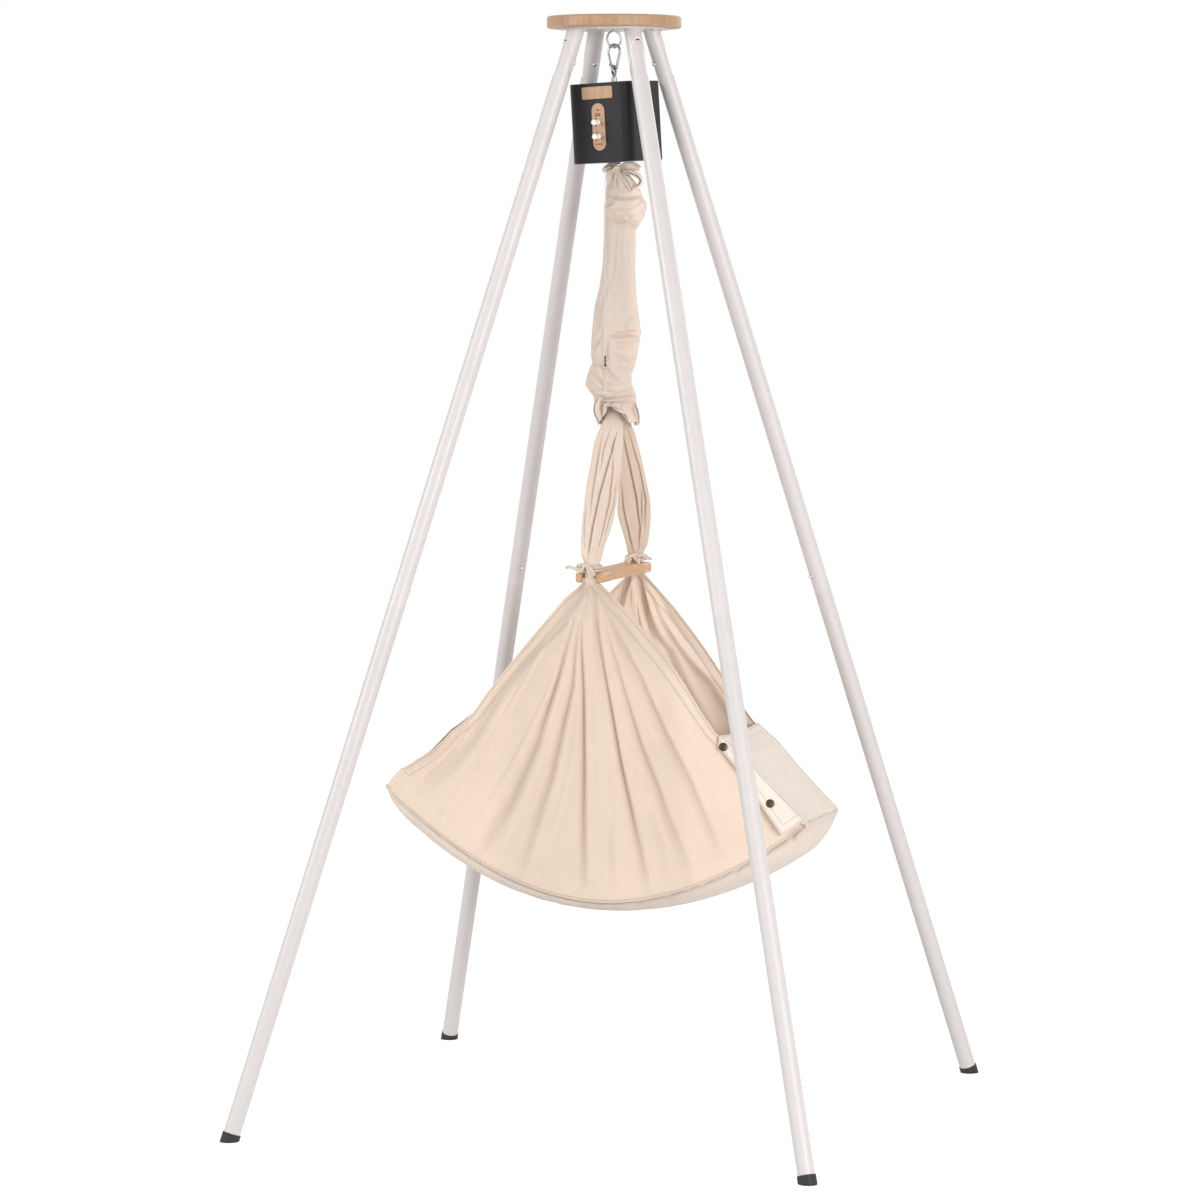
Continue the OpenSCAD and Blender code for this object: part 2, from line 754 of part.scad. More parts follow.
module motor_case() {
  color(charcoal) difference() {
    on_case() difference() {
      union() {
        difference() {
          translate([0, 0, -1])
            case_block(case_w, case_depth, case_h - 2, case_round);
          translate([0, 0, -case_wall])
            case_block(case_w - 2 * case_wall, case_depth - 2 * case_wall,
                       case_h - 2 * case_wall, case_round - case_wall);
        }
        case_edge(-1 - eps, 1);
        case_edge(-case_h + 1 + eps, -1);
        back_bosses(boss_r, case_wall, 8);
        for (x = [-1, 1]) for (z = [-1, 1])
          translate([x * (back_w / 2 - boss_in / 2), case_depth / 2 - case_wall - 4,
                     -case_h / 2 + z * (back_h / 2 + 1)])
            cube([boss_in + 2, 8, 16], center = true);
        board_posts(3, board_gap);
      }
      translate([0, case_depth / 2 + 1, -case_h / 2]) rotate([90, 0, 0])
        linear_extrude(case_wall + 1) rounded_rect(back_w, back_h, 8);
      back_bosses(case_screw_r, case_wall - 1, 8);
      for (up = [knob_up, -knob_down])
        on_front(-strip_drop + up, -case_wall - 1)
          cylinder(r = knob_shaft_r + running_gap, h = case_wall + 2);
      on_front(-strip_drop + led_up, -case_wall - 1)
        cylinder(r = led_r + running_gap, h = case_wall + 2);
      translate([0, 0, -case_wall - 1]) cylinder(r = stud_r + 0.6, h = 6);
    }
    translate([0, 0, case_low_z - 6]) cylinder(r = bush_r + 0.7, h = 16);
  }
}

module motor_back() {
  color(charcoal) on_case() difference() {
    translate([0, case_depth / 2, -case_h / 2]) rotate([90, 0, 0])
      linear_extrude(case_wall)
        rounded_rect(back_w - 2 * back_gap, back_h - 2 * back_gap, 8 - back_gap);
    back_bosses(case_screw_r + 0.2, -1, case_wall + 2);
    back_bosses(3.2, -1, 1 + 1.6);
    for (x = [-3:3])
      translate([x * 8, case_depth / 2, -case_h * 0.72]) rotate([90, 0, 0])
        translate([0, 0, -1]) linear_extrude(case_wall + 2)
          rounded_rect(3, 24, 1.4, $fn = 24);
  }
}

module case_screws() {
  color(zinc) on_case() {
    back_bosses(case_screw_r - running_gap, 1, 8);
    back_bosses(2.9, 0.2, 1.4);
  }
}

module label_plate() {
  color(beech) on_case() on_front(-label_drop)
    linear_extrude(wood_t) rounded_rect(label_w, label_h, 2.5, $fn = 32);
}

module control_strip() {
  color(beech) on_case() difference() {
    on_front(-strip_drop) linear_extrude(wood_t)
      rounded_rect(strip_w, strip_h, strip_w / 2 - eps);
    for (up = [knob_up, -knob_down])
      on_front(-strip_drop + up, -1)
        cylinder(r = knob_shaft_r + running_gap, h = wood_t + 2);
    on_front(-strip_drop + led_up, -1)
      cylinder(r = led_r + running_gap, h = wood_t + 2);
  }
}

module led_lens() {
  color([0.15, 0.08, 0.06]) on_case()
    on_front(-strip_drop + led_up, -case_wall - 1) rotate_extrude($fn = 32)
      polygon([[0, 0], [led_r, 0], [led_r, case_wall + wood_t + 1],
               [led_r * 0.6, case_wall + wood_t + 1.6],
               [0, case_wall + wood_t + 1.8]]);
}

module knob(up) {
  r = knob_d / 2;
  base = wood_t + 0.3;
  color([0.93, 0.93, 0.92]) on_case() on_front(-strip_drop + up)
    rotate_extrude() {
      translate([0, -case_wall - board_gap - board_t - 4])
        square([knob_shaft_r, case_wall + board_gap + board_t + 4 + base + 1]);
      polygon([
        [0, base], [r * 0.8, base], [r * 0.8, base + 2.5],
        [r * 0.55, base + 4], [r * 0.62, base + knob_len * 0.5],
        [r * 0.9, base + knob_len * 0.68], [r, base + knob_len * 0.8],
        [r * 0.9, base + knob_len * 0.93], [r * 0.6, base + knob_len * 0.99],
        [0, base + knob_len]
      ]);
    }
}

module circuit_board() {
  y = face_y + case_wall + board_gap;
  color(board_green) on_case() difference() {
    union() {
      translate([-board_w / 2, y, -strip_drop - board_h / 2])
        cube([board_w, board_t, board_h]);
      for (up = [knob_up, -knob_down])
        translate([-6, y + board_t - eps, -strip_drop + up - 6])
          cube([12, 6, 12]);
      translate([14, y + board_t - eps, -strip_drop - 30]) cube([12, 9, 24]);
    }
    for (up = [knob_up, -knob_down])
      on_front(-strip_drop + up, -case_wall - board_gap - board_t - 4.5)
        cylinder(r = knob_shaft_r + running_gap, h = 12);
  }
}

// ---- Drive -----------------------------------------------------------------

module motor_frame() {
  post_x = gearmotor_d / 2 + 0.3;
  color(steel) rotate([0, 0, case_turn]) difference() {
    union() {
      translate([-frame_w / 2, -frame_d / 2, frame_top_z - frame_t])
        cube([frame_w, frame_d, frame_t]);
      translate([-frame_w / 2, -frame_d / 2, frame_low_z])
        cube([frame_w, frame_d, frame_t]);
      for (side = [0, 1]) mirror([side, 0, 0])
        translate([post_x, -frame_d / 3, frame_low_z])
          cube([frame_w / 2 - post_x, frame_d / 1.5, frame_top_z - frame_low_z]);
      translate([0, 0, frame_top_z - frame_t - frame_nut_h])
        cylinder(r = 7, h = frame_nut_h + 1);
    }
    translate([0, 0, frame_top_z - frame_t - frame_nut_h - 1])
      cylinder(r = stud_r + running_gap, h = frame_nut_h + frame_t + 2);
    translate([0, 0, frame_low_z - 1])
      cylinder(r = bush_r + running_gap, h = frame_t + 2);
  }
}

module gearmotor() {
  color(zinc) difference() {
    union() {
      translate([0, 0, gearmotor_low_z + 22])
        cylinder(d = gearmotor_d - 1.5, h = gearmotor_h - 22);
      translate([0, 0, gearmotor_low_z]) cylinder(d = gearmotor_d, h = 20);
      translate([0, 0, gearmotor_low_z + 19])
        cylinder(d = gearmotor_d - 4, h = 4);
    }
    translate([0, 0, gearmotor_low_z - 1])
      cylinder(r = output_r + running_gap, h = output_len + 2);
  }
}

module drive_screw() {
  color(steel) {
    translate([0, 0, screw_top_z - 1])
      cylinder(r = output_r, h = output_len);
    translate([0, 0, screw_top_z - collar_h])
      cylinder(d = collar_d, h = collar_h);
    translate([0, 0, screw_low_z])
      cylinder(d = screw_d, h = screw_top_z - collar_h - screw_low_z + 1);
  }
}

module flat_sided(r, flat, from, to) {
  difference() {
    translate([0, 0, from]) cylinder(r = r, h = to - from);
    rotate([0, 0, case_turn]) translate([-r, flat, from - 1])
      cube([2 * r, r, to - from + 2]);
  }
}

module drive_plunger() {
  color(zinc) difference() {
    union() {
      flat_sided(plunger_d / 2, flat_out, plunger_low_z, plunger_top_z);
      intersection() {
        translate([-tab_t / 2, -tab_w / 2, tab_hole_z])
          cube([tab_t, tab_w, plunger_low_z - tab_hole_z + 1]);
        cylinder(d = plunger_d - 3.2, h = plunger_low_z + 1);
      }
      translate([0, 0, tab_hole_z]) rotate([0, 90, 0])
        cylinder(d = tab_w, h = tab_t, center = true);
    }
    translate([0, 0, plunger_floor_z])
      cylinder(r = screw_d / 2 + running_gap, h = plunger_top_z);
    translate([0, 0, tab_hole_z]) rotate([0, 90, 0])
      cylinder(r = tab_hole_r, h = plunger_d, center = true);
  }
}

module guide_bush() {
  color([0.85, 0.85, 0.83]) difference() {
    translate([0, 0, bush_low_z])
      cylinder(r = bush_r, h = frame_low_z + frame_t - bush_low_z);
    flat_sided(plunger_d / 2 + running_gap, flat_out + 0.1,
               bush_low_z - 1, frame_low_z + frame_t + 1);
  }
}

// ---- Spring, sleeve and safety cord ----------------------------------------

// Wire's route: upper hook, straight wire, curls, straight wire, lower hook
function spring_route() =
  let (
    h = spring_hook_r,
    top_c = spring_top_z - h,
    low_c = spring_low_z + h,
    last = 360 * spring_turns + 90
  )
  concat(
    [[-h, 0, top_c - 3]],
    [for (a = [180:-30:0]) [h * cos(a), 0, top_c + h * sin(a)]],
    [[h + 1, 0, mix(top_c, curl_top_z, 0.5)],
     [spring_r - 1, -1, curl_top_z + 5]],
    [for (i = [0:spring_turns * curl_rings + curl_rings / 4])
      let (a = 360 * i / curl_rings)
      [spring_r * cos(a), spring_r * sin(a),
       mix(curl_top_z, curl_low_z, a / last)]],
    [[-1, spring_r - 1, curl_low_z - 5],
     [0, h + 1, mix(low_c, curl_low_z, 0.5)]],
    [for (a = [0:-30:-180]) [0, h * cos(a), low_c + h * sin(a)]],
    [[0, -h, low_c + 3]]
  );

spring_rings = tube_rings(spring_route(), spring_wire / 2, wire_sides, [0, 1, 0]);

// Least distance between points of one curl and points of the next
curl_gap = min([
  for (i = [12:len(spring_rings) - 13 - curl_rings])
    for (a = spring_rings[i]) for (b = spring_rings[i + curl_rings])
      norm(a - b)
]);
echo(curl_gap = curl_gap);

module main_spring() {
  color(steel) loft(spring_rings);
}

// Straight end of the safety cord, through the sleeve to the hanger ring
cord_end = [-16, -(hanger_wire + cord_d) / 2 - seat_gap, hanger_z - 12.8];
cord_bend = [-1, -cord_out + 1, hanger_z + 4];

function sleeve_bore(drop) =
  drop > sleeve_widens + 110 ? sleeve_mouth :
  drop > sleeve_widens ? sleeve_bore_low : sleeve_bore_top;

module spring_sleeve() {
  n = sleeve_sides;
  rows = len(sleeve_rows);
  outer = [for (row = sleeve_rows) for (k = [0:n - 1])
    let (a = 360 * k / n, fold = 1 + 0.03 * cos(3 * a + row[0]))
    [row[2] + row[1] * fold * cos(a), row[1] * fold * sin(a),
     sleeve_top_z - row[0]]];
  inner = [for (row = sleeve_rows) for (k = [0:n - 1])
    let (a = 360 * k / n, r = sleeve_bore(row[0]))
    [r * cos(a), r * sin(a), sleeve_top_z - row[0]]];
  m = rows * n;
  walls = [for (i = [0:rows - 2]) for (k = [0:n - 1])
    let (a = i * n + k, b = i * n + (k + 1) % n)
    each [[a, b + n, b], [a, a + n, b + n],
      [m + a, m + b, m + b + n], [m + a, m + b + n, m + a + n]]];
  ends = [for (k = [0:n - 1])
    let (a = k, b = (k + 1) % n, c = m - n + k, d = m - n + (k + 1) % n)
    each [[a, b, m + b], [a, m + b, m + a],
      [c, m + d, d], [c, m + c, m + d]]];
  hole = tube_rings([mix(cord_bend, cord_end, -0.1), mix(cord_bend, cord_end, 0.8)],
                    cord_d / 2 + 0.7, 8, [1, 0, 0]);
  color(cream) difference() {
    polyhedron(concat(outer, inner),
      [for (f = concat(walls, ends)) [f[2], f[1], f[0]]]);
    loft(hole);
  }
}

cord_top_z = plunger_low_z - 2;
cord_join_z = cord_top_z - cord_upper_len;

// Route of the upper stretch, from the plunger down to its hook
function cord_route() = [
  [0, -tab_w / 2 - cord_d, cord_top_z], [0, -20, cord_top_z],
  [0, -38, cord_top_z - 1], [0, -cord_out + 4, cord_top_z - 5],
  [0, -cord_out, cord_top_z - 14], [0, -cord_out, cord_top_z - 0.3 * cord_upper_len],
  [0, -cord_out, cord_top_z - 0.6 * cord_upper_len], [0, -cord_out, cord_join_z]
];

module safety_cord() {
  color(zinc) {
    loft(tube_rings(cord_route(), cord_d / 2, 8, [1, 0, 0]));
    translate([0, 0, cord_top_z]) difference() {
      cylinder(r = tab_w / 2 + cord_d + 0.6, h = cord_d, center = true);
      cylinder(r = tab_w / 2 + 0.6, h = cord_d + 1, center = true);
    }
  }
}

// Small hook, split ring and the cord's lower stretch to the hanger ring
module cord_hook() {
  z = cord_join_z - seat_gap;
  route = [
    [0, -cord_out, z - 26], [0, -cord_out, z - 60],
    cord_bend, mix(cord_bend, cord_end, 0.1), cord_end
  ];
  color(bronze) translate([0, -cord_out, z - 10]) rotate([90, 0, 90]) {
    wire_arc(2.4, 1.6, 0, 360);
    translate([0, 3, 0]) rotate([-90, 0, 0]) cylinder(r = 1.6, h = 7, $fn = 24);
    translate([0, -6.6, 0]) wire_arc(3.4, 1.8, -230, 50);
  }
  color([0.8, 0.62, 0.3]) translate([0, -cord_out, z - 21.8])
    rotate([90, 0, 0]) wire_arc(4.2, 1.4, 0, 360);
  color(zinc) loft(tube_rings(route, cord_d / 2, 8, [1, 0, 0]));
}

// ---- Cradle ----------------------------------------------------------------

module hanger_ring() {
  color(steel) upright(0, hanger_z) wire_arc(hanger_r, hanger_wire, 0, 360);
}

// One strand of cloth from the hanger ring's lower wire down to its tie
// [share of the way, half width, half thickness]
strap_rows = [
  [0, 11, 4.2], [0.06, 14, 6], [0.16, 21, 8], [0.3, 28, 8.5], [0.46, 31, 8.5],
  [0.62, 31, 9], [0.78, 27, 10], [0.9, 19, 11], [1, 14.8, 11.4]
];

module strap(side) {
  seat = hanger_wire / 2 + seat_gap + 4.2;
  from = [0, side * seat, hanger_low_z];
  to = [0, side * (gather_y - tie_in), bar_z + tie_rise];
  down = unit(to - from);
  out = [0, side * -down[2], side * down[1]];
  lap = seat + 0.1;
  crown = [for (a = [0, 25, 50, 75])
    [[0, side * lap * sin(a), hanger_low_z + lap * cos(a)],
     [0, side * sin(a), cos(a)], 10, 4.2]];
  strand = [for (row = strap_rows) [mix(from, to, row[0]), out, row[1], row[2]]];
  slot = [
    [[0, side * (gather_y - 1.5), bar_z + gather_low], [0, side, 0],
     gather_half, gather_thick],
    [[0, side * gather_y, bar_z + 0.1], [0, side, 0], gather_half, gather_thick]
  ];
  rings = [for (s = concat(crown, strand, slot)) [for (k = [0:11])
    let (a = 30 * k, fold = k % 2 == 0 ? 1 : 0.82)
    s[0] + [s[2] * cos(a), 0, 0] + s[1] * s[3] * fold * sin(a)]];
  color(cream) loft(rings, turned = side == FAR);
}

module bar_outline() {
  prong = (fork_w - slot_w) / 2;
  tip_r = prong / 2;
  square([bar_w, bar_len - 110], center = true);
  for (end = [0, 1]) mirror([0, end, 0]) {
    hull() {
      translate([0, bar_len / 2 - 62]) square([bar_w, 2], center = true);
      translate([0, bar_len / 2 - 48]) square([fork_w, 2], center = true);
    }
    difference() {
      translate([-fork_w / 2, bar_len / 2 - 49]) square([fork_w, 49 - tip_r]);
      translate([0, bar_len / 2 - slot_depth + slot_w / 2]) circle(d = slot_w);
      translate([-slot_w / 2, bar_len / 2 - slot_depth + slot_w / 2])
        square([slot_w, slot_depth]);
    }
    for (x = [-1, 1])
      translate([x * (slot_w + prong) / 2, bar_len / 2 - tip_r])
        circle(r = tip_r);
  }
}

module spreader_bar() {
  color(beech) intersection() {
    translate([0, 0, bar_z - bar_t / 2]) linear_extrude(bar_t) bar_outline();
    translate([0, 0, bar_z]) rotate([90, 0, 0])
      linear_extrude(bar_len + 20, center = true)
        rounded_rect(fork_w, bar_t, 7);
    translate([0, 0, bar_z]) rotate([90, 0, 90])
      linear_extrude(fork_w + 20, center = true)
        rounded_rect(bar_len, bar_t, 7);
  }
}

function bed_y(x) = bed_half_w - bed_draw_in * pow(abs(x) / bed_half, 2);

function climb(x, low_x, left, right, power) =
  (x < low_x ? left : right) *
  pow(abs(x - low_x) / (x < low_x ? bed_half + low_x : bed_half - low_x), power);

function seam_z(x) = seam_low_z +
  climb(x, seam_low_x, seam_rise_left, seam_rise_right, 1.9);

function pocket_z(x) = pocket_low_z +
  climb(x, pocket_low_x, pocket_rise_left, pocket_rise_right, 2.1);

// Point of a side's cloth: a runs -1 to 1 along the seam, v runs down
function spread(v) = clamp((v - fan_slot) / (1 - fan_slot), 0, 1);
function fan_x(a, v) = a * mix(gather_half, fan_span, spread(v));
function fan_z(a, v) =
  mix(bar_z - gather_low * min(v / fan_slot, 1),
      seam_line(a * fan_span) + 0.4, spread(v))
  - hem_sag * pow(abs(a), 3) * sin(180 * v * v)
  * (1 - panel_lift * clamp((v - 0.58) / 0.12, 0, 1));
function fan_y(a, v) =
  mix(gather_y, bed_y(a * fan_span) - cloth_t / 2, spread(v));
function pleat(a, v) =
  (pleat_depth * pow(1 - v, 1.3) + 1.2) * min(1, spread(v) / 0.06)
  * cos(180 * pleats * a);
function fan_half(v) =
  cloth_t / 2 + (gather_thick - cloth_t / 2) * exp(-spread(v) / 0.04);

module fan(side) {
  function face(out) = [for (v = fan_rows) [for (c = [0:fan_cols])
    let (a = 2 * c / fan_cols - 1)
    [fan_x(a, v), side * (fan_y(a, v) + pleat(a, v) + out * fan_half(v)),
     fan_z(a, v)]]];
  color(cream) sheet(face(1), face(-1), turned = side == FAR);
}

// Stations along the pocket, as shares of half its length
stations = [-1, -0.985, -0.95, -0.9, -0.8, -0.65, -0.45, -0.2, 0.06,
            0.3, 0.5, 0.68, 0.82, 0.91, 0.955, 0.985, 1];

// Height of the seam as the pocket's straight stretches follow it
function seam_line(x) = lookup(x, [
  for (s = stations) [s * bed_half, seam_z(s * bed_half)]
]);

// Depth of the pocket below its seam, closing at the two ends
function pocket_d(x) =
  (seam_z(x) - pocket_z(x)) *
  sqrt(max(0.002, 1 - pow(max(0, abs(x) - bed_half + end_round) / end_round, 2)));

module mattress_pocket() {
  turns = [0:22.5:180];
  function face(inset) = [for (s = stations)
    let (x = s * bed_half, d = pocket_d(x))
    [for (a = turns)
      [x, -(bed_y(x) - inset) * sign(cos(a)) * pow(abs(cos(a)), 0.7),
       seam_z(x) - max(d - inset, 0.3) * pow(sin(a), 0.75)]]];
  color(pale) sheet(face(0), face(cloth_t), turned = true);
}

module mattress() {
  gap = cloth_t + 0.5;
  color([0.93, 0.91, 0.88]) loft([for (s = stations) if (abs(s) < 0.94)
    let (
      x = s * bed_half, w = bed_y(x) - gap,
      d = pocket_d(x) - gap, plump = sqrt(1 - pow(s / 0.96, 8))
    )
    [for (k = [0:15])
      let (a = 22.5 * k, up = a > 180)
      [x, -w * sign(cos(a)) * pow(abs(cos(a)), up ? 0.6 : 0.7),
       seam_z(x) - (up ? crown_h * plump : max(d, 1))
       * sign(sin(a)) * pow(abs(sin(a)), up ? 0.8 : 0.75)]]]);
}

// Ridge where an end panel folds down over a side's cloth, at share v down it
function ridge_y(v) = fan_y(1, v) + panel_out;
function ridge_z(end, v) = fan_z(end, v) + panel_rise;
function flap_drop(end, v) =
  let (above = ridge_z(end, v) - seam_z(end * fan_x(1, v)) - flap_clear)
  end == LEFT ? flap_min : min(flap_top + flap_grow * (v - 0.6), max(flap_min, above));
function flap_y(end, v) = ridge_y(v) + flap_flare * flap_drop(end, v);

module end_panel(end) {
  steps = [for (v = fan_rows) if (v > 0.59) v];
  cuts = [
    [-1, 1], [-1, 0.5], [-1, 0], [-0.6, 0], [0, 0], [0.6, 0], [1, 0],
    [1, 0.5], [1, 1]
  ];
  function face(lift) = [for (v = steps) [for (c = cuts)
    let (
      y = mix(ridge_y(v), flap_y(end, v), c[1]) + (c[1] > 0 ? lift : 0),
      sag = 5 * (1 - c[0] * c[0])
    )
    [end * fan_x(1, v), c[0] * y,
     ridge_z(end, v) - c[1] * flap_drop(end, v) - sag + (c[1] == 0 ? lift : 0)]]];
  color(pale) sheet(face(cloth_t), face(0), turned = end == LEFT);
}

// Slope of a flap's outer face along the cradle
function flap_face(v) = ridge_y(v) + flap_flare * ridge_z(RIGHT, v);
function flap_slope(v) =
  (flap_face(v - 0.03) - flap_face(v + 0.03)) / (fan_x(1, v + 0.03) - fan_x(1, v - 0.03));

function stud_down(v) = 0.5 * flap_drop(RIGHT, v);

module snap_fasteners() {
  color(bronze) for (side = [0, 1]) mirror([0, side, 0])
    for (v = stud_steps) {
      down = stud_down(v);
      slope = flap_slope(v);
      tilt = atan(flap_flare / sqrt(1 + slope * slope));
      translate([fan_x(1, v) - 2, -ridge_y(v) - flap_flare * down,
                 ridge_z(RIGHT, v) - down])
        rotate([0, 0, atan(slope)]) rotate([90 - tilt, 0, 0])
          translate([0, 0, cloth_t + stud_gap]) rotate_extrude($fn = 32) polygon([
            [0, 0], [stud_d / 2 - 0.6, 0], [stud_d / 2, 0.6],
            [stud_d / 2 - 1, stud_t * 0.62], [stud_d / 4, stud_t * 0.95],
            [0, stud_t]
          ]);
    }
}

// One cord round the gathered cloth at the bar, with its two loose ends
function tie_route(side) =
  let (rx = 18.5, ry = 16.9, z = bar_z + bar_t / 2 + tie_d / 2 + 0.8)
  concat(
    [[-34, -31, z + 8], [-24, -27, z + 5], [-13, -23, z + 1]],
    [for (a = [-90:45:600])
      let (grow = a > 270 ? 0.4 : 0)
      [(rx + grow) * cos(a), (ry + grow) * sin(a),
       z + 0.2 + (tie_d + 1) * (a + 90) / 360]],
    [[-8, -24, z + 10], [4, -27.5, z + 8], [12, -28, z + 1], [17, -27.5, z - 8]]
  );

module tie_cords() {
  color([0.93, 0.9, 0.86]) for (side = [0, 1]) mirror([0, side, 0])
    translate([0, -gather_y + 3, 0])
      loft(tube_rings(tie_route(side), tie_d / 2, 6, [0, 0, 1]));
}

top_disc();
top_bracket();
disc_screws();
eye_bolt();
eye_nut();
upper_leg(0);  // upper_leg_1
upper_leg(1);  // upper_leg_2
upper_leg(2);  // upper_leg_3
upper_leg(3);  // upper_leg_4
lower_leg(0);  // lower_leg_1
lower_leg(1);  // lower_leg_2
lower_leg(2);  // lower_leg_3
lower_leg(3);  // lower_leg_4
foot_cap(0);  // foot_cap_1
foot_cap(1);  // foot_cap_2
foot_cap(2);  // foot_cap_3
foot_cap(3);  // foot_cap_4
snap_button(0, joint_s[0]);  // snap_button_1
snap_button(1, joint_s[0]);  // snap_button_2
snap_button(2, joint_s[0]);  // snap_button_3
snap_button(3, joint_s[0]);  // snap_button_4
snap_button(0, joint_s[1]);  // snap_button_5
snap_button(1, joint_s[1]);  // snap_button_6
snap_button(2, joint_s[1]);  // snap_button_7
snap_button(3, joint_s[1]);  // snap_button_8
snap_springs();
carabiner();
carabiner_gate();
swivel_eye();
swivel_base();
motor_case();
motor_back();
case_screws();
label_plate();
control_strip();
led_lens();
knob(knob_up);  // knob_upper
knob(-knob_down);  // knob_lower
motor_frame();
gearmotor();
drive_screw();
drive_plunger();
guide_bush();
circuit_board();
main_spring();
spring_sleeve();
safety_cord();
cord_hook();
hanger_ring();
strap(NEAR);  // strap_near
strap(FAR);  // strap_far
spreader_bar();
tie_cords();
fan(NEAR);  // fan_near
fan(FAR);  // fan_far
mattress();
mattress_pocket();
end_panel(LEFT);  // end_panel_left
end_panel(RIGHT);  // end_panel_right
snap_fasteners();
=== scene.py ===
import json
import math
import bpy
import numpy as np
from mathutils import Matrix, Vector, noise


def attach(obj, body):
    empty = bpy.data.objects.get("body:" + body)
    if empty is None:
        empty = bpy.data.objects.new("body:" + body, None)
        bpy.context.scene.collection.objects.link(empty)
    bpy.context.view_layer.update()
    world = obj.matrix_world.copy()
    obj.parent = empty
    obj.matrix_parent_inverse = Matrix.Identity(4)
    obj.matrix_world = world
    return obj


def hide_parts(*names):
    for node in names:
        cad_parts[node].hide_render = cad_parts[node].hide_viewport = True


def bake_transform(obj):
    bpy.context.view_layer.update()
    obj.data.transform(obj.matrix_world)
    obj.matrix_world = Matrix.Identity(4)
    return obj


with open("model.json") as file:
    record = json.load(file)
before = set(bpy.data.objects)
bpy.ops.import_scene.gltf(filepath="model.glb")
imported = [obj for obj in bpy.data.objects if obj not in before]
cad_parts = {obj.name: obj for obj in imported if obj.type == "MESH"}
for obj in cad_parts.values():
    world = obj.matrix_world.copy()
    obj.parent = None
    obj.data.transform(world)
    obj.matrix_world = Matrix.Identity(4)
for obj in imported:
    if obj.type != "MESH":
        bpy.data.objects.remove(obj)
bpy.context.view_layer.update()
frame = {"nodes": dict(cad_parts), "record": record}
nodes = frame["nodes"]
MM = 0.001

# ---- Camera, at the photograph's viewing angle ------------------------------
AZ, PITCH = math.radians(19.45), math.radians(4.83)
DIST, SIDE, EYE = 8.5, -0.0263, 1.680
cam_data = bpy.data.cameras.new("camera")
cam = bpy.data.objects.new("camera", cam_data)
bpy.context.collection.objects.link(cam)
cam.location = (DIST * math.sin(AZ) + SIDE * math.cos(AZ),
                -DIST * math.cos(AZ) + SIDE * math.sin(AZ), EYE)
cam.rotation_euler = (math.pi / 2 - PITCH, 0, AZ)
cam_data.sensor_width = 36
cam_data.lens = 136.23
cam_data.clip_end = 200
bpy.context.scene.camera = cam

# ---- Sizes, the same as the CAD's, in millimetres ---------------------------
BAR_Z, SEAM_LOW = 1014.34, 417.34
HANG_Z, HANG_LOW = 1341.84, 1321.34
GATHER_Y, GATHER_HALF, GATHER_THICK, GATHER_LOW = 131.0, 11.9, 9.3, 11.0
BED, BED_W, DRAW_IN, CLOTH = 412.0, 160.0, 60.0, 2.4
SPAN, DROP = 408.0, 597.0
CASE_LOW = 1780.5


def mix(a, b, t):
    return a + (b - a) * t


def ease(t):
    t = np.clip(t, 0, 1)
    return t * t * (3 - 2 * t)


def bed_y(x):
    return BED_W - DRAW_IN * (np.abs(x) / BED) ** 2


def climb(x, low, left, right, power):
    x = np.asarray(x, float)
    span = np.where(x < low, BED + low, BED - low)
    return np.where(x < low, left, right) * (np.abs(x - low) / span) ** power


def seam_z(x):
    return SEAM_LOW + climb(x, 30, 190, 156, 1.9)


def pocket_z(x):
    return SEAM_LOW - 32 + climb(x, 25, 160, 136, 2.1)


def spread(v):
    return np.clip((v - GATHER_LOW / DROP) / (1 - GATHER_LOW / DROP), 0, 1)


def fan_x(a, v):
    return a * mix(GATHER_HALF, SPAN, spread(v))


def fan_z(a, v):
    top = BAR_Z - GATHER_LOW * np.minimum(v * DROP / GATHER_LOW, 1)
    dip = 28 * (1 - 0.62 * np.clip((v - 0.58) / 0.12, 0, 1))
    return mix(top, seam_z(a * SPAN) + 0.4, spread(v)) \
        - dip * np.abs(a) ** 3 * np.sin(np.pi * v * v)


def fan_y(a, v):
    return mix(GATHER_Y, bed_y(a * SPAN) - CLOTH / 2, spread(v))


# ---- Mesh helpers -----------------------------------------------------------
def lumps(p, size, seed):
    """Smooth noise from -1 to 1 at points p (mm), with lumps of that size."""
    s = 1.0 / size
    flat = p.reshape(-1, 3)
    out = [noise.noise((x * s + seed, y * s - seed, z * s + 0.37 * seed))
           for x, y, z in flat]
    return np.array(out).reshape(p.shape[:-1])


def make(name, verts, faces, material, body):
    me = bpy.data.meshes.new(name)
    me.from_pydata([tuple(v) for v in np.asarray(verts) * MM], [], faces)
    me.update()
    me.polygons.foreach_set("use_smooth", [True] * len(me.polygons))
    obj = bpy.data.objects.new(name, me)
    bpy.context.collection.objects.link(obj)
    me.materials.append(material)
    if body:
        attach(obj, body)
    return obj


def set_uv(obj, uv):
    layer = obj.data.uv_layers.new(name="cloth")
    index = np.zeros(len(obj.data.loops), int)
    obj.data.loops.foreach_get("vertex_index", index)
    layer.data.foreach_set("uv", np.asarray(uv, float)[index].ravel())


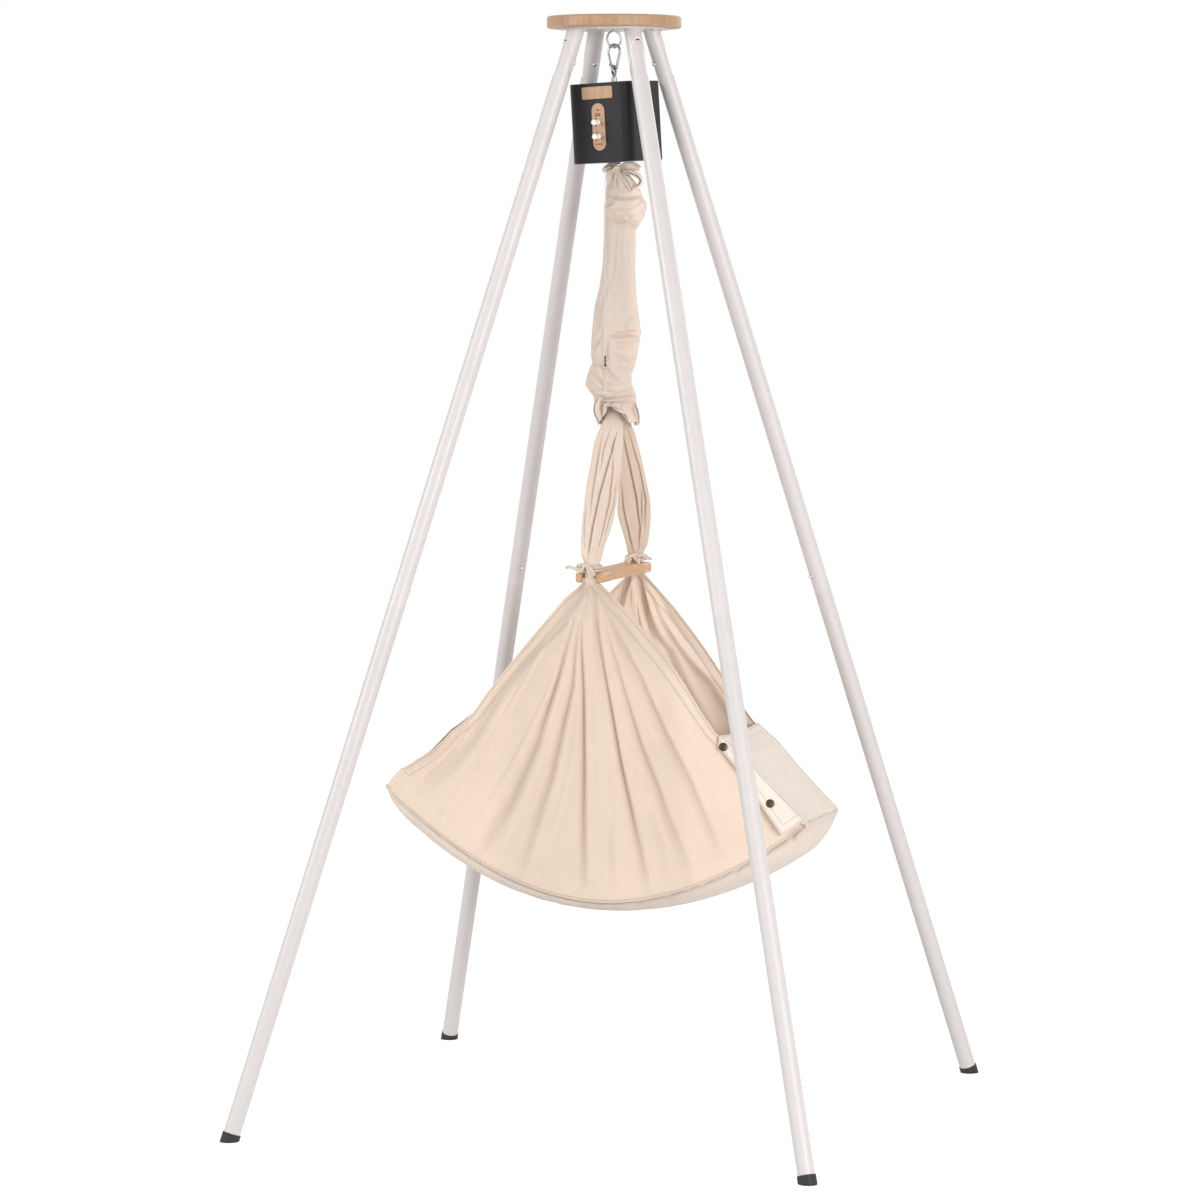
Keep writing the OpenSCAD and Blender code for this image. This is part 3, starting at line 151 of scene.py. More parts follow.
def grid(name, p, material, body, uv=None, thick=0, offset=0,
         wrap=False, flip=False):
    """A sheet through a grid of points p[row, column]; wrap joins its sides."""
    rows, cols = p.shape[:2]
    last = cols if wrap else cols - 1
    r, c = np.meshgrid(np.arange(rows - 1), np.arange(last), indexing="ij")
    a = r * cols + c
    b = r * cols + (c + 1) % cols
    quads = np.stack([a, b, b + cols, a + cols], -1).reshape(-1, 4)
    if flip:
        quads = quads[:, ::-1]
    obj = make(name, p.reshape(-1, 3), quads.tolist(), material, body)
    if uv is not None:
        set_uv(obj, uv.reshape(-1, 2))
    if thick:
        m = obj.modifiers.new("thickness", "SOLIDIFY")
        m.thickness = thick * MM
        m.offset = offset
    return obj


def attribute(obj, name, values):
    layer = obj.data.attributes.new(name, "FLOAT", "POINT")
    layer.data.foreach_set("value", np.asarray(values, np.float32).ravel())


def lengths(path):
    """The length along a path at each of its points."""
    steps = np.linalg.norm(np.diff(path, axis=0), axis=1)
    return np.concatenate([[0], np.cumsum(steps)])


def closed_faces(rows, cols):
    """Faces between rings of points, and the fans to two end points that follow."""
    faces = []
    for i in range(rows - 1):
        for k in range(cols):
            a, c = i * cols + k, i * cols + (k + 1) % cols
            faces.append((a, c, c + cols, a + cols))
    last = (rows - 1) * cols
    for k in range(cols):
        faces.append((rows * cols, (k + 1) % cols, k))
        faces.append((rows * cols + 1, last + k, last + (k + 1) % cols))
    return faces


def frames(path, start):
    """Tangents and two normals along a path, turned as little as possible."""
    t = np.gradient(path, axis=0)
    t /= np.linalg.norm(t, axis=1)[:, None]
    n = np.zeros_like(path)
    m = np.array(start, float)
    for i in range(len(path)):
        m = m - t[i] * (m @ t[i])
        m /= np.linalg.norm(m)
        n[i] = m
    return t, n, np.cross(t, n)


def screen(p):
    """Where points p (mm) show in a 1200 x 1200 picture, and pixels per mm there."""
    right = np.array([math.cos(AZ), math.sin(AZ), 0])
    ahead = np.array([-math.sin(AZ) * math.cos(PITCH), math.cos(AZ) * math.cos(PITCH),
                      -math.sin(PITCH)])
    d = np.asarray(p) * MM - np.array(cam.location)
    scale = cam_data.lens / cam_data.sensor_width * 1200 / (d @ ahead)
    return (600 + scale * (d @ right), 600 - scale * (d @ np.cross(right, ahead)),
            scale * MM)


def stroke(u, v, line, width, depth, lip=0.4):
    """The depth of a fold drawn along a line over places (u, v), with a raised lip."""
    line = np.asarray(line, float)
    near = np.full(u.shape, 1e9)
    side = np.zeros(u.shape)
    run = np.zeros(u.shape)
    for i in range(len(line) - 1):
        a, d = line[i], line[i + 1] - line[i]
        size = math.hypot(*d)
        t = np.clip(((u - a[0]) * d[0] + (v - a[1]) * d[1]) / size ** 2, 0, 1)
        gu, gv = u - a[0] - t * d[0], v - a[1] - t * d[1]
        r = np.hypot(gu, gv)
        closer = r < near
        near = np.where(closer, r, near)
        side = np.where(closer, (gu * d[1] - gv * d[0]) / size, side)
        run = np.where(closer, (i + t) / (len(line) - 1), run)
    fade = np.sqrt(np.clip(np.sin(np.pi * np.clip(run, 0.02, 0.98)), 0, 1))
    width = np.interp(run, [0, 1], np.broadcast_to(width, 2))
    across = np.abs(near - np.abs(side)) + side
    return fade * depth * (lip * np.exp(-((across - 1.8 * width) / width) ** 2)
                           - np.exp(-(near / width) ** 2))


# Level directions: to the right in the picture, and away from the camera
RIGHT = np.array([math.cos(AZ), math.sin(AZ), 0.0])
AWAY = np.array([-math.sin(AZ), math.cos(AZ), 0.0])


def picture_edges(table, p):
    """How far (mm) a table's left and right edge lie to the right of points p."""
    u, v, scale = screen(p)
    return [(np.interp(v, table[:, 0], table[:, i]) - u) / scale for i in (1, 2)]


def smooth_path(points, step=2.0):
    """Catmull-Rom curve through points, resampled evenly."""
    q = np.asarray(points, float)
    q = np.vstack([2 * q[0] - q[1], q, 2 * q[-1] - q[-2]])
    out = []
    for i in range(1, len(q) - 2):
        p0, p1, p2, p3 = q[i - 1:i + 3]
        t = np.linspace(0, 1, 24, endpoint=False)[:, None]
        out.append(0.5 * (2 * p1 + (p2 - p0) * t
                          + (2 * p0 - 5 * p1 + 4 * p2 - p3) * t ** 2
                          + (3 * p1 - p0 - 3 * p2 + p3) * t ** 3))
    out = np.vstack(out + [q[-2][None]])
    d = lengths(out)
    n = max(4, int(d[-1] / step))
    s = np.linspace(0, d[-1], n + 1)
    return np.stack([np.interp(s, d, out[:, k]) for k in range(3)], -1), s


def tube(name, path, radius, material, body, sides=12, strands=0,
         lay=0, start=(0, 0, 1), taper=0):
    """A round tube along path; strands and lay give it a rope's twist."""
    path = np.asarray(path, float)
    _, n, b = frames(path, start)
    run = lengths(path)
    ang = np.linspace(0, 2 * np.pi, sides, endpoint=False)
    r = np.full((len(path), sides), float(radius))
    if strands:
        turn = 2 * np.pi * run[:, None] / lay
        r *= 0.88 + 0.12 * np.abs(np.cos(strands * (ang[None] - turn) / 2))
    if taper:
        r *= np.clip(np.minimum(run, run[-1] - run) / taper, 0.35, 1)[:, None]
    p = path[:, None] + r[..., None] * (np.cos(ang)[None, :, None] * n[:, None]
                                        + np.sin(ang)[None, :, None] * b[:, None])
    rows = len(path)
    verts = np.vstack([p.reshape(-1, 3), path[:1], path[-1:]])
    obj = make(name, verts, closed_faces(rows, sides), material, body)
    u = np.tile(ang / (2 * np.pi) * radius * 6.28, (rows, 1)) * MM
    w = np.tile(run[:, None], (1, sides)) * MM
    uv = np.vstack([np.stack([u, w], -1).reshape(-1, 2), [[0, 0], [0, run[-1] * MM]]])
    set_uv(obj, uv)
    return obj


# ---- Materials --------------------------------------------------------------
class Mat:
    """A node material under construction."""

    def __init__(self, name, color, rough=0.5, metal=0.0, **sockets):
        self.m = bpy.data.materials.new(name)
        self.m.use_nodes = True
        self.t = self.m.node_tree
        self.p = self.t.nodes["Principled BSDF"]
        self.color = color
        self.p.inputs["Base Color"].default_value = (*color, 1)
        self.p.inputs["Roughness"].default_value = rough
        self.p.inputs["Metallic"].default_value = metal
        for key, value in sockets.items():
            self.p.inputs[key.replace("_", " ")].default_value = value
        self.height = None

    def node(self, kind, **values):
        n = self.t.nodes.new(kind)
        for key, value in values.items():
            if key in n.inputs:
                n.inputs[key].default_value = value
            else:
                setattr(n, key, value)
        return n

    def link(self, a, b):
        self.t.links.new(a, b)

    def coords(self, kind="Object", scale=(1, 1, 1), rotation=(0, 0, 0)):
        c = self.node("ShaderNodeTexCoord")
        m = self.node("ShaderNodeMapping", Scale=scale, Rotation=rotation)
        self.link(c.outputs[kind], m.inputs["Vector"])
        return m.outputs["Vector"]

    def attribute(self, name):
        return self.node("ShaderNodeAttribute", attribute_name=name).outputs["Fac"]

    def noise(self, vector, scale, detail=3.0, rough=0.5):
        n = self.node("ShaderNodeTexNoise", Scale=scale, Detail=detail, Roughness=rough)
        self.link(vector, n.inputs["Vector"])
        return n.outputs["Fac"]

    def wave(self, vector, scale, distortion=0.0, direction="DIAGONAL", detail=2.0):
        n = self.node("ShaderNodeTexWave", Scale=scale, Distortion=distortion,
                      Detail=detail, bands_direction=direction)
        self.link(vector, n.inputs["Vector"])
        return n.outputs["Fac"]

    def ramp(self, fac, low, high, a=0.0, b=1.0):
        n = self.node("ShaderNodeMapRange", **{"From Min": low, "From Max": high,
                                               "To Min": a, "To Max": b})
        self.link(fac, n.inputs["Value"])
        return n.outputs["Result"]

    def math(self, op, a, b):
        n = self.node("ShaderNodeMath", operation=op)
        for i, x in enumerate((a, b)):
            if isinstance(x, (int, float)):
                n.inputs[i].default_value = x
            else:
                self.link(x, n.inputs[i])
        return n.outputs[0]

    def tint(self, fac, color):
        """Mixes color over the base by fac."""
        n = self.node("ShaderNodeMix", data_type="RGBA")
        old = self.p.inputs["Base Color"]
        if old.is_linked:
            self.link(old.links[0].from_socket, n.inputs["A"])
        else:
            n.inputs["A"].default_value = (*self.color, 1)
        n.inputs["B"].default_value = (*color, 1)
        self.link(fac, n.inputs["Factor"])
        self.link(n.outputs["Result"], old)
        return self

    def bump(self, height, distance, strength=1.0):
        n = self.node("ShaderNodeBump", Strength=strength, Distance=distance)
        self.link(height, n.inputs["Height"])
        normal = self.p.inputs["Normal"]
        if normal.is_linked:
            self.link(normal.links[0].from_socket, n.inputs["Normal"])
        self.link(n.outputs["Normal"], normal)
        return self

    def roughness(self, fac, low, high):
        self.link(self.ramp(fac, 0.25, 0.75, low, high), self.p.inputs["Roughness"])
        return self


def shade(color, k):
    return tuple(min(1, c * k) for c in color)


def twill(name, color, period=0.0047, depth=0.00034, slubs=1.3):
    """Cotton twill: slanting ribs, threads of uneven thickness, soft nap."""
    m = Mat(name, color, 0.93, Sheen_Weight=0.25, Sheen_Roughness=0.5,
            Specular_IOR_Level=0.2)
    uv = m.coords("UV")
    ribs = m.wave(uv, 0.628 / period, 1.2, "DIAGONAL", 3)
    warp = m.noise(m.coords("UV", (90, 1400, 1)), 1.0, 2)
    weft = m.noise(m.coords("UV", (1400, 90, 1)), 1.0, 2)
    slub = m.math("MULTIPLY", m.math("ADD", warp, weft), 0.5)
    broad = m.noise(m.coords(), 7.0, 4, 0.6)
    m.tint(m.ramp(ribs, 0.15, 0.9, 0.55, 0.0), shade(color, 0.78))
    m.tint(m.ramp(slub, 0.42, 0.62, 0.0, 0.35 * slubs), shade(color, 0.86))
    m.tint(m.ramp(broad, 0.4, 0.7, 0.0, 0.5), shade(color, 1.045))
    m.bump(m.math("ADD", m.math("MULTIPLY", ribs, 0.7), slub), depth)
    m.bump(m.noise(m.coords(), 45, 3), 0.0012, 0.5)
    return m


def stitched(m, attr, rows, fold=True, pitch=0.0058, color=(0.60, 0.50, 0.39)):
    """Adds stitch rows where the named attribute (metres from the edge) says, with
    painted shade along each row.
    """
    edge, run = m.attribute(attr), m.attribute(attr + "_run")
    dash = m.math("GREATER_THAN", m.math("FRACT", m.math("DIVIDE", run, pitch), 0), 0.3)
    for at in rows:
        far = m.math("ABSOLUTE", m.math("SUBTRACT", edge, at), 0)
        line = m.math("LESS_THAN", far, 0.0007)
        m.bump(m.ramp(far, 0.0, 0.0026, 0.0, 1.0), 0.0011)
        # painted shade along the groove of each stitch row
        m.tint(m.ramp(far, 0.0, 0.0026, 0.30, 0.0), shade(m.color, 0.80))
        m.tint(m.math("MULTIPLY", m.math("MULTIPLY", line, dash), 0.6), color)
    if fold:
        m.bump(m.ramp(edge, rows[-1] + 0.0006, rows[-1] + 0.0022, 1.0, 0.0), 0.0012)
    return m


def wood(name, color, axis="X", grain=1.0):
    """Oiled beech: long grain, short dark flecks, faint growth bands."""
    m = Mat(name, color, 0.48, Coat_Weight=0.12, Coat_Roughness=0.35)

    def stretched(long, short):
        return m.coords("Object", [long if q == axis else short for q in "XYZ"])

    fibre = m.noise(stretched(3, 60), 3.0 * grain, 6, 0.65)
    marks = m.noise(stretched(90, 900), 1.3, 1, 0.4)
    rings = m.wave(stretched(1.5, 38), 1.0, 2.5, "DIAGONAL", 3)
    m.tint(m.ramp(rings, 0.2, 0.9, 0.0, 0.35), shade(color, 0.84))
    m.tint(m.ramp(fibre, 0.42, 0.62, 0.0, 0.5), shade(color, 0.80))
    m.tint(m.ramp(fibre, 0.60, 0.36, 0.0, 0.4), shade(color, 1.12))
    m.tint(m.ramp(marks, 0.60, 0.68, 0.0, 0.75), shade(color, 0.58))
    m.bump(m.math("ADD", fibre, m.math("MULTIPLY", marks, -0.5)), 0.0003)
    m.roughness(fibre, 0.42, 0.56)
    return m


def coated(name, color, rough=0.42, peel=0.00006, lighter_edges=True, gloss=0.5, coat=0.08):
    """Powder coat or moulded plastic with a fine skin."""
    m = Mat(name, color, rough, Coat_Weight=coat, Coat_Roughness=0.3,
            Specular_IOR_Level=gloss)
    fine = m.noise(m.coords(), 900, 2)
    broad = m.noise(m.coords(), 9, 4, 0.6)
    m.tint(m.ramp(broad, 0.4, 0.7, 0.0, 0.6), shade(color, 0.965))
    m.tint(m.ramp(fine, 0.55, 0.75, 0.0, 0.25), shade(color, 0.93))
    m.bump(fine, peel)
    m.roughness(broad, rough - 0.05, rough + 0.07)
    if lighter_edges:
        # lighter on sharp convex edges
        geo = m.node("ShaderNodeNewGeometry")
        m.tint(m.ramp(geo.outputs["Pointiness"], 0.56, 0.66, 0.0, 0.5),
               shade(color, 1.12))
    return m


def metal(name, color, rough=0.28, axis=(40, 40, 900), bump=0.00003):
    m = Mat(name, color, rough, 1.0)
    brush = m.noise(m.coords("Object", axis), 1.0, 4)
    blot = m.noise(m.coords(), 130, 4, 0.6)
    m.tint(m.ramp(blot, 0.42, 0.72, 0.0, 0.6), shade(color, 0.72))
    m.bump(brush, bump)
    m.roughness(blot, rough - 0.07, rough + 0.16)
    return m


CREAM = (0.870, 0.710, 0.592)
PALE = (0.945, 0.850, 0.765)
GREY_CREAM = (0.885, 0.765, 0.675)
BEECH = (0.735, 0.445, 0.255)
HEM_THREAD = (0.50, 0.40, 0.30)


def hemmed(name, color):
    """Side cloth: two stitch rows along the hems, one at the foot, painted shade in the
    creases.
    """
    m = stitched(twill(name, color), "hem", (0.0025, 0.0120), color=HEM_THREAD)
    stitched(m, "foot", (0.0029,), False, color=HEM_THREAD)
    # painted shade, darker the deeper a crease folds in
    m.tint(m.ramp(m.attribute("crease_shade"), 0.0, 1.0, 0.0, 0.62), shade(color, 0.72))
    return m


mat_hem = hemmed("cotton_twill_hemmed", CREAM)
# The far side's copy is lighter: painted light on its inside, which the near side
# shades.
mat_hem_far_lit = hemmed("cotton_twill_far_lit", (0.945, 0.790, 0.670))
mat_panel = stitched(twill("cotton_panel", PALE, 0.0026, 0.00020), "hem",
                     (0.0035, 0.0195))
mat_pocket = twill("cotton_pocket", GREY_CREAM, 0.0024, 0.00018, 0.8)
# painted shade on the pocket just under the seam, where the side cloth's edge overhangs
# it
mat_pocket.tint(mat_pocket.ramp(mat_pocket.attribute("below"), 0.002, 0.024, 0.75,
                                0.0), shade(GREY_CREAM, 0.80))
mat_sleeve = twill("cotton_sleeve", (0.885, 0.755, 0.66), 0.0040, 0.00028)
# Lit and shaded copies of one cotton: the near strap is painted lighter and the far one
# darker, painted light and shade.
mat_strap = twill("cotton_strap", (0.92, 0.775, 0.66), 0.0042, 0.00028)
mat_strap_far_shaded = twill("cotton_strap_far_shaded", (0.74, 0.60, 0.50), 0.0042, 0.00028)
mat_mattress = twill("mattress_cover", (0.86, 0.80, 0.72), 0.0011, 0.00012, 1.2)
mat_piping = twill("cotton_piping", shade(CREAM, 0.93), 0.0012, 0.0002)

# The disc, with end grain on its rim
mat_beech = wood("beech_disc", shade(BEECH, 0.66), "X")
side_on = mat_beech.node("ShaderNodeSeparateXYZ")
mat_beech.link(mat_beech.node("ShaderNodeNewGeometry").outputs["Normal"],
               side_on.inputs[0])
rim = mat_beech.ramp(mat_beech.math("ABSOLUTE", side_on.outputs["Z"], 0), 0.5, 0.2,
                     0.0, 0.8)
grain = mat_beech.noise(mat_beech.coords("Object", (150, 150, 6)), 1.0, 4)
mat_beech.tint(mat_beech.math("MULTIPLY", rim, mat_beech.ramp(grain, 0.45, 0.60)),
               shade(BEECH, 0.50))

mat_cord = Mat("cotton_cord", (0.88, 0.755, 0.65), 0.95, Sheen_Weight=0.2)
mat_cord.tint(mat_cord.ramp(mat_cord.noise(mat_cord.coords(), 700, 3),
                            0.4, 0.65, 0.0, 0.45), (0.70, 0.58, 0.47))
mat_cord.bump(mat_cord.wave(mat_cord.coords("UV"), 0.628 / 0.0016, 0.8), 0.0004)
mat_wire_cord = metal("steel_cord", (0.55, 0.55, 0.54), 0.4, (900, 900, 900), 0.0001)
mat_brass = metal("brass_ring", (0.72, 0.48, 0.20), 0.22, (300, 300, 300))
mat_mark = coated("strip_marks", (0.030, 0.016, 0.010), 0.7, 0.00005, False, 0.2)

BY_SLOT = {"beech": mat_beech}
for name, *values in (  # color, rough, peel, lighter edges, gloss, coat
        ("stand_enamel", (0.675, 0.645, 0.642), 0.38),
        ("foot_rubber", (0.018, 0.018, 0.019), 0.75, 0.0002, False),
        ("case_plastic", (0.021, 0.020, 0.023), 0.42, 0.00012, False, 0.2, 0.0),
        ("knob_plastic", (0.86, 0.86, 0.85), 0.25, 0.00002, False),
        ("bush_plastic", (0.75, 0.74, 0.70), 0.45, 0.00005, False),
        ("lens_plastic", (0.03, 0.012, 0.01), 0.12, 0.00001, False),
        ("board_laminate", (0.02, 0.13, 0.06), 0.4, 0.0001, False)):
    BY_SLOT[name] = coated(name, *values)
for name, *values in (  # color, rough, axis
        ("zinc_steel", (0.62, 0.62, 0.61), 0.34),
        ("spring_steel", (0.40, 0.40, 0.41), 0.33),
        ("polished_steel", (0.50, 0.48, 0.455), 0.2, (200, 200, 200)),
        ("antique_bronze", (0.085, 0.062, 0.045), 0.36, (300, 300, 300))):
    BY_SLOT[name] = metal(name, *values)
mat_bronze = BY_SLOT["antique_bronze"]
mat_plate = wood("beech_plates", (0.50, 0.305, 0.185), "Z", 2.0)
BY_NODE = {"spreader_bar": wood("beech_bar", (0.66, 0.385, 0.205), "Y", 1.4),
           "label_plate": mat_plate, "control_strip": mat_plate}
for part in frame["record"]["subparts"]:
    name = part["node"]
    chosen = BY_NODE.get(name) or BY_SLOT.get(part["material_slot"])
    if chosen and name in nodes:
        for slot in nodes[name].material_slots:
            slot.material = chosen.m

# ---- Side cloths ------------------------------------------------------------
HEM_RUN = 396.0   # from the gather to a corner, across
FULL_CREASE = 7   # a fold this deep (mm) gets the full painted crease shade

# The far side's folds, as the camera sees them: [kind, depth, width, how far down,
# points (across, down)]. A valley or ridge is soft; a pleat's front is on its right
# (1) or left (-1).
FAR_FOLDS = [
    ("valley", 5.0, 12, .6, [(-.75, .03), (-.71, .06), (-.55, .12), (-.50, .4)]),
    (-1, 5.0, 10, .85, [(-.05, .03), (-.03, .05), (.02, .18), (.06, .4), (.08, .9)]),
    ("valley", 5.5, 12, .8, [(.12, .02), (.16, .06), (.38, .21), (.49, .29),
                             (.56, .5), (.58, .8)]),
    ("ridge", 5.0, 13, .95, [(.80, .02), (.78, .04), (.69, .18), (.80, .33),
                             (.89, .42), (.90, .9)]),
    (1, 5.0, 14, .95, [(-.40, .05), (-.36, .3), (-.30, .6), (-.30, 1)]),
    ("valley", 5.0, 13, .9, [(.30, .1), (.30, .4), (.28, .8)])]
# How far the hem lies outside its straight course: {side: {end: [(down, mm)]}}
HEMS = {-1: {-1: [(0, 0), (.1, 8), (.2, 7), (.5, 6), (.62, 0), (.74, -2),
                  (.80, 0), (.86, 6), (.90, 12), (.94, 16), (1, 16)],
             1: [(0, 0), (.08, 7), (.18, 11), (.26, 13), (.34, 14), (.42, 9),
                 (.5, 3), (.58, 0), (1, 0)]},
        1: {-1: [(0, 0), (.15, 4), (.4, 4), (.6, 0), (1, 0)],
            1: [(0, 0), (.1, 4), (.17, 7), (.33, 7), (.5, 1), (.6, 0), (1, 0)]}}
# The near side's folds as lines in the picture: [points, width at the top and the
# foot (pixels), depth (mm, below 0 for a ridge)]
NEAR_FOLDS = [
    ([(580, 622), (583, 687), (584, 753), (583, 807), (582.5, 860), (581.5, 890)],
     (1.6, 4.4), 9.0),
    ([(595, 620), (610, 703), (620, 760), (630, 807), (640, 853), (646, 892)],
     (1.7, 4.2), 9.5),
    ([(604, 622), (623, 687), (640, 743), (657, 787), (667, 820), (680, 853),
      (689, 884)], (1.6, 5.5), 7.5),
    ([(609, 622), (640, 680), (663, 730), (687, 780), (703, 820), (717, 856)],
     (1.8, 5.5), 7.5),
    ([(573, 620), (557, 680), (537, 743), (513, 797), (490, 837), (477, 860)],
     (1.8, 6.5), 8.5),
    ([(577, 624), (572, 687), (562, 730), (550, 780), (533, 827), (518, 876)],
     (1.6, 5.5), 8.0),
    ([(566, 622), (523, 667), (500, 697), (470, 743), (447, 770), (424, 790)],
     (2.2, 8.5), 8.0),
    ([(470, 722), (457, 733), (433, 753), (408, 778)], (1.8, 3.0), 3.5),
    ([(611, 820), (610, 853), (612, 890)], (3.0, 4.0), 2.6),
    ([(650, 812), (659, 840), (667, 884)], (3.0, 4.2), 2.8),
    ([(548, 640), (523, 687), (490, 743), (463, 783), (441, 823)], (1.6, 3.0), -3.8),
    ([(480, 710), (447, 753), (414, 793)], (1.6, 2.8), -3.4),
    ([(560, 660), (547, 697), (520, 753), (493, 800), (470, 838)], (1.8, 3.8), -3.6),
    ([(567, 687), (553, 733), (533, 780), (513, 823), (497, 858)], (2.0, 4.0), -2.6),
    ([(579, 703), (573, 760), (560, 810), (540, 858)], (2.2, 4.6), -2.4),
    ([(593, 660), (600, 770), (602, 846)], (3.0, 7.0), -2.2),
    ([(613, 690), (637, 760), (648, 812)], (2.4, 5.0), -2.2),
    ([(628, 680), (657, 743), (674, 790)], (2.4, 5.0), -2.2)]
GATHERED = np.random.default_rng(5).uniform(-1, 1, 17)


def fan_surface(side, a, v):
    """A side's cloth at grid a (across) and v (down): its middle, the creases, and the
    painted shade they get.
    """
    half = np.abs(fan_x(np.ones_like(v), v))
    fold = np.zeros_like(a)
    for kind, depth, width, reach, line in FAR_FOLDS if side > 0 else ():
        line = np.array(line)
        at = np.interp(v, line[:, 1], line[:, 0])
        w = width * (0.30 + 1.25 * v)
        q = (a - at) * half
        d = depth * mix(0.45, 1, ease((reach + 0.10 - v) / 0.34)) \
            * ease((v - 0.015) / 0.06) * (0.95 + 0.85 * ease((0.75 - v) / 0.5))
        if kind == "valley":
            fold += d * (0.45 * np.exp(-((np.abs(q) - 2.0 * w) / w) ** 2)
                         - np.exp(-np.abs(q / w) ** 1.7))
        elif kind == "ridge":
            fold += d * np.exp(-(q / w) ** 2)
        else:
            q = q * kind
            edge = 0.5 + 0.5 * np.tanh(q / 1.3)
            fold += d * (edge * np.exp(-np.maximum(q, 0) / (2.2 * w))
                         - 0.75 * (1 - edge) * np.exp(np.minimum(q, 0) / (0.8 * w)))
    for i, r in enumerate(GATHERED):
        at = -0.94 + 1.88 * (i + 0.5 + 0.3 * r) / len(GATHERED)
        q = (a - at - 0.05 * r * v) * half / (3.6 + 14 * v)
        fold -= (3.6 + 1.4 * r) * np.exp(-q ** 2) * ease((v - 0.012) / 0.05) \
            * ease((0.34 + 0.10 * r - v) / 0.30)
    base = np.stack([fan_x(a, v), side * fan_y(a, v), fan_z(a, v)], -1)
    if side < 0:
        shown_u, shown_v, _ = screen(base)
        for line, width, depth in NEAR_FOLDS:
            fold += stroke(shown_u, shown_v, line, width, depth, 0.35) \
                * ease((v - 0.015) / 0.06)
    # how much painted shade a crease gets, by its depth
    crease_shade = np.clip(-fold / FULL_CREASE, 0, 1)
    if side > 0:
        fold = -fold
    fold += 1.6 * lumps(base, 95, 3.1) * ease(v / 0.5)
    left = ease((-a - 0.80) / 0.16) * ease((v - 0.70) / 0.2) * (side < 0)
    fold += left * 1.3 * lumps(base * [1, 1, 0.35], 26, 8.2)
    fold = np.clip(fold, -12, 9) * ease((1.0 - v) / 0.06 + 0.25)
    bulge = 2.6 * np.sin(np.pi * np.clip(v, 0, 1) ** 1.4) * (1 - a * a)
    lower = np.maximum(0, v - 1) * DROP
    low = ease((v - 0.95) / 0.045)
    nose = ease((-a - 0.86) / 0.12) * ease((v - 0.78) / 0.14)
    y = fan_y(a, v) + fold + bulge + 3.4 * low - 7 * nose * ease((-a - 0.93) / 0.07)
    p = np.stack([base[..., 0], side * y, base[..., 2] - lower], -1)
    for end in (-1, 1):
        course = np.array(HEMS[side][end])
        out = np.interp(v, course[:, 0], course[:, 1])
        above = np.minimum(v, 0.995)
        dz = (fan_z(end * np.ones_like(v), above + 1e-3)
              - fan_z(end * np.ones_like(v), above)) / 1e-3
        size = np.hypot(HEM_RUN, dz)
        k = np.clip(end * a, 0, 1) ** 5 * out
        turn = ease((v - 0.93) / 0.07) * (end < 0) * np.radians(50)
        nx, nz = -dz / size, HEM_RUN / size
        p[..., 0] += end * k * (nx * np.cos(turn) + nz * np.sin(turn))
        p[..., 2] += k * (nz * np.cos(turn) - nx * np.sin(turn))
    return p, crease_shade


def fan_gather(v):
    return CLOTH / 2 + (GATHER_THICK - CLOTH / 2) * np.exp(-spread(v) / 0.03)


def make_fan(name, side, node, material):
    cols, rows = 361, 150
    a1 = np.linspace(-1, 1, cols)
    a1 = 1.2 * a1 - 0.2 * a1 ** 3
    v1 = np.linspace(0, 1, rows - 4) ** 1.12
    v1 = np.concatenate([v1[:-1], [0.9965, 1, 1.0035, 1.006, 1.0075]])
    a, v = np.meshgrid(a1, v1)
    half = np.maximum(np.abs(fan_x(np.ones_like(v), v)), 1)
    side_edge = (1 - np.abs(a)) * half * 0.8
    low_edge = (1.0075 - v) * DROP
    band = np.clip((12.6 - side_edge) / 1.2, 0, 1) * np.clip(v / 0.06, 0, 1)
    lip = np.exp(-(side_edge / 2.2) ** 2) + 0.8 * np.exp(-(low_edge / 2.0) ** 2)
    p, crease_shade = fan_surface(side, a, v)
    out = []
    for layer in (1, -1):
        q = p.copy()
        q[..., 1] += side * layer * (fan_gather(v) - CLOTH / 2 + 0.7 + 0.55 * band
                                     + 0.45 * lip)
        out.append(q)
    front, back = out
    n = rows * cols
    verts = np.vstack([front.reshape(-1, 3), back.reshape(-1, 3)])
    r, c = np.meshgrid(np.arange(rows - 1), np.arange(cols - 1), indexing="ij")
    i = (r * cols + c).ravel()
    f1 = np.stack([i, i + cols, i + cols + 1, i + 1], -1)
    if side > 0:
        f1 = f1[:, ::-1]
    f2 = f1[:, ::-1] + n
    faces = f1.tolist() + f2.tolist()
    rim = list(range(0, n, cols)) + list(range(n - cols + 1, n)) \
        + list(range(n - cols - 1, 0, -cols)) + list(range(cols - 2, 0, -1))
    for e, g in zip(rim, rim[1:] + rim[:1]):
        faces.append((e, e + n, g + n, g) if side < 0 else (g, g + n, e + n, e))
    obj = make(name, verts, faces, material.m, "cradle")
    uv = p[..., [0, 2]].reshape(-1, 2) * MM
    set_uv(obj, np.vstack([uv, uv]))
    hem = side_edge * MM + 0.3 * ease((v - 0.93) / 0.06)
    for key, values in (("hem", hem), ("hem_run", v * 0.72), ("crease_shade", crease_shade),
                        ("foot", low_edge * MM), ("foot_run", a * SPAN * MM + 0.9)):
        attribute(obj, key, np.concatenate([values.ravel()] * 2))
    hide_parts(node)
    return obj


fan_near = make_fan("cloth_side_near", -1, "fan_near", mat_hem)
fan_far = make_fan("cloth_side_far", 1, "fan_far", mat_hem_far_lit)

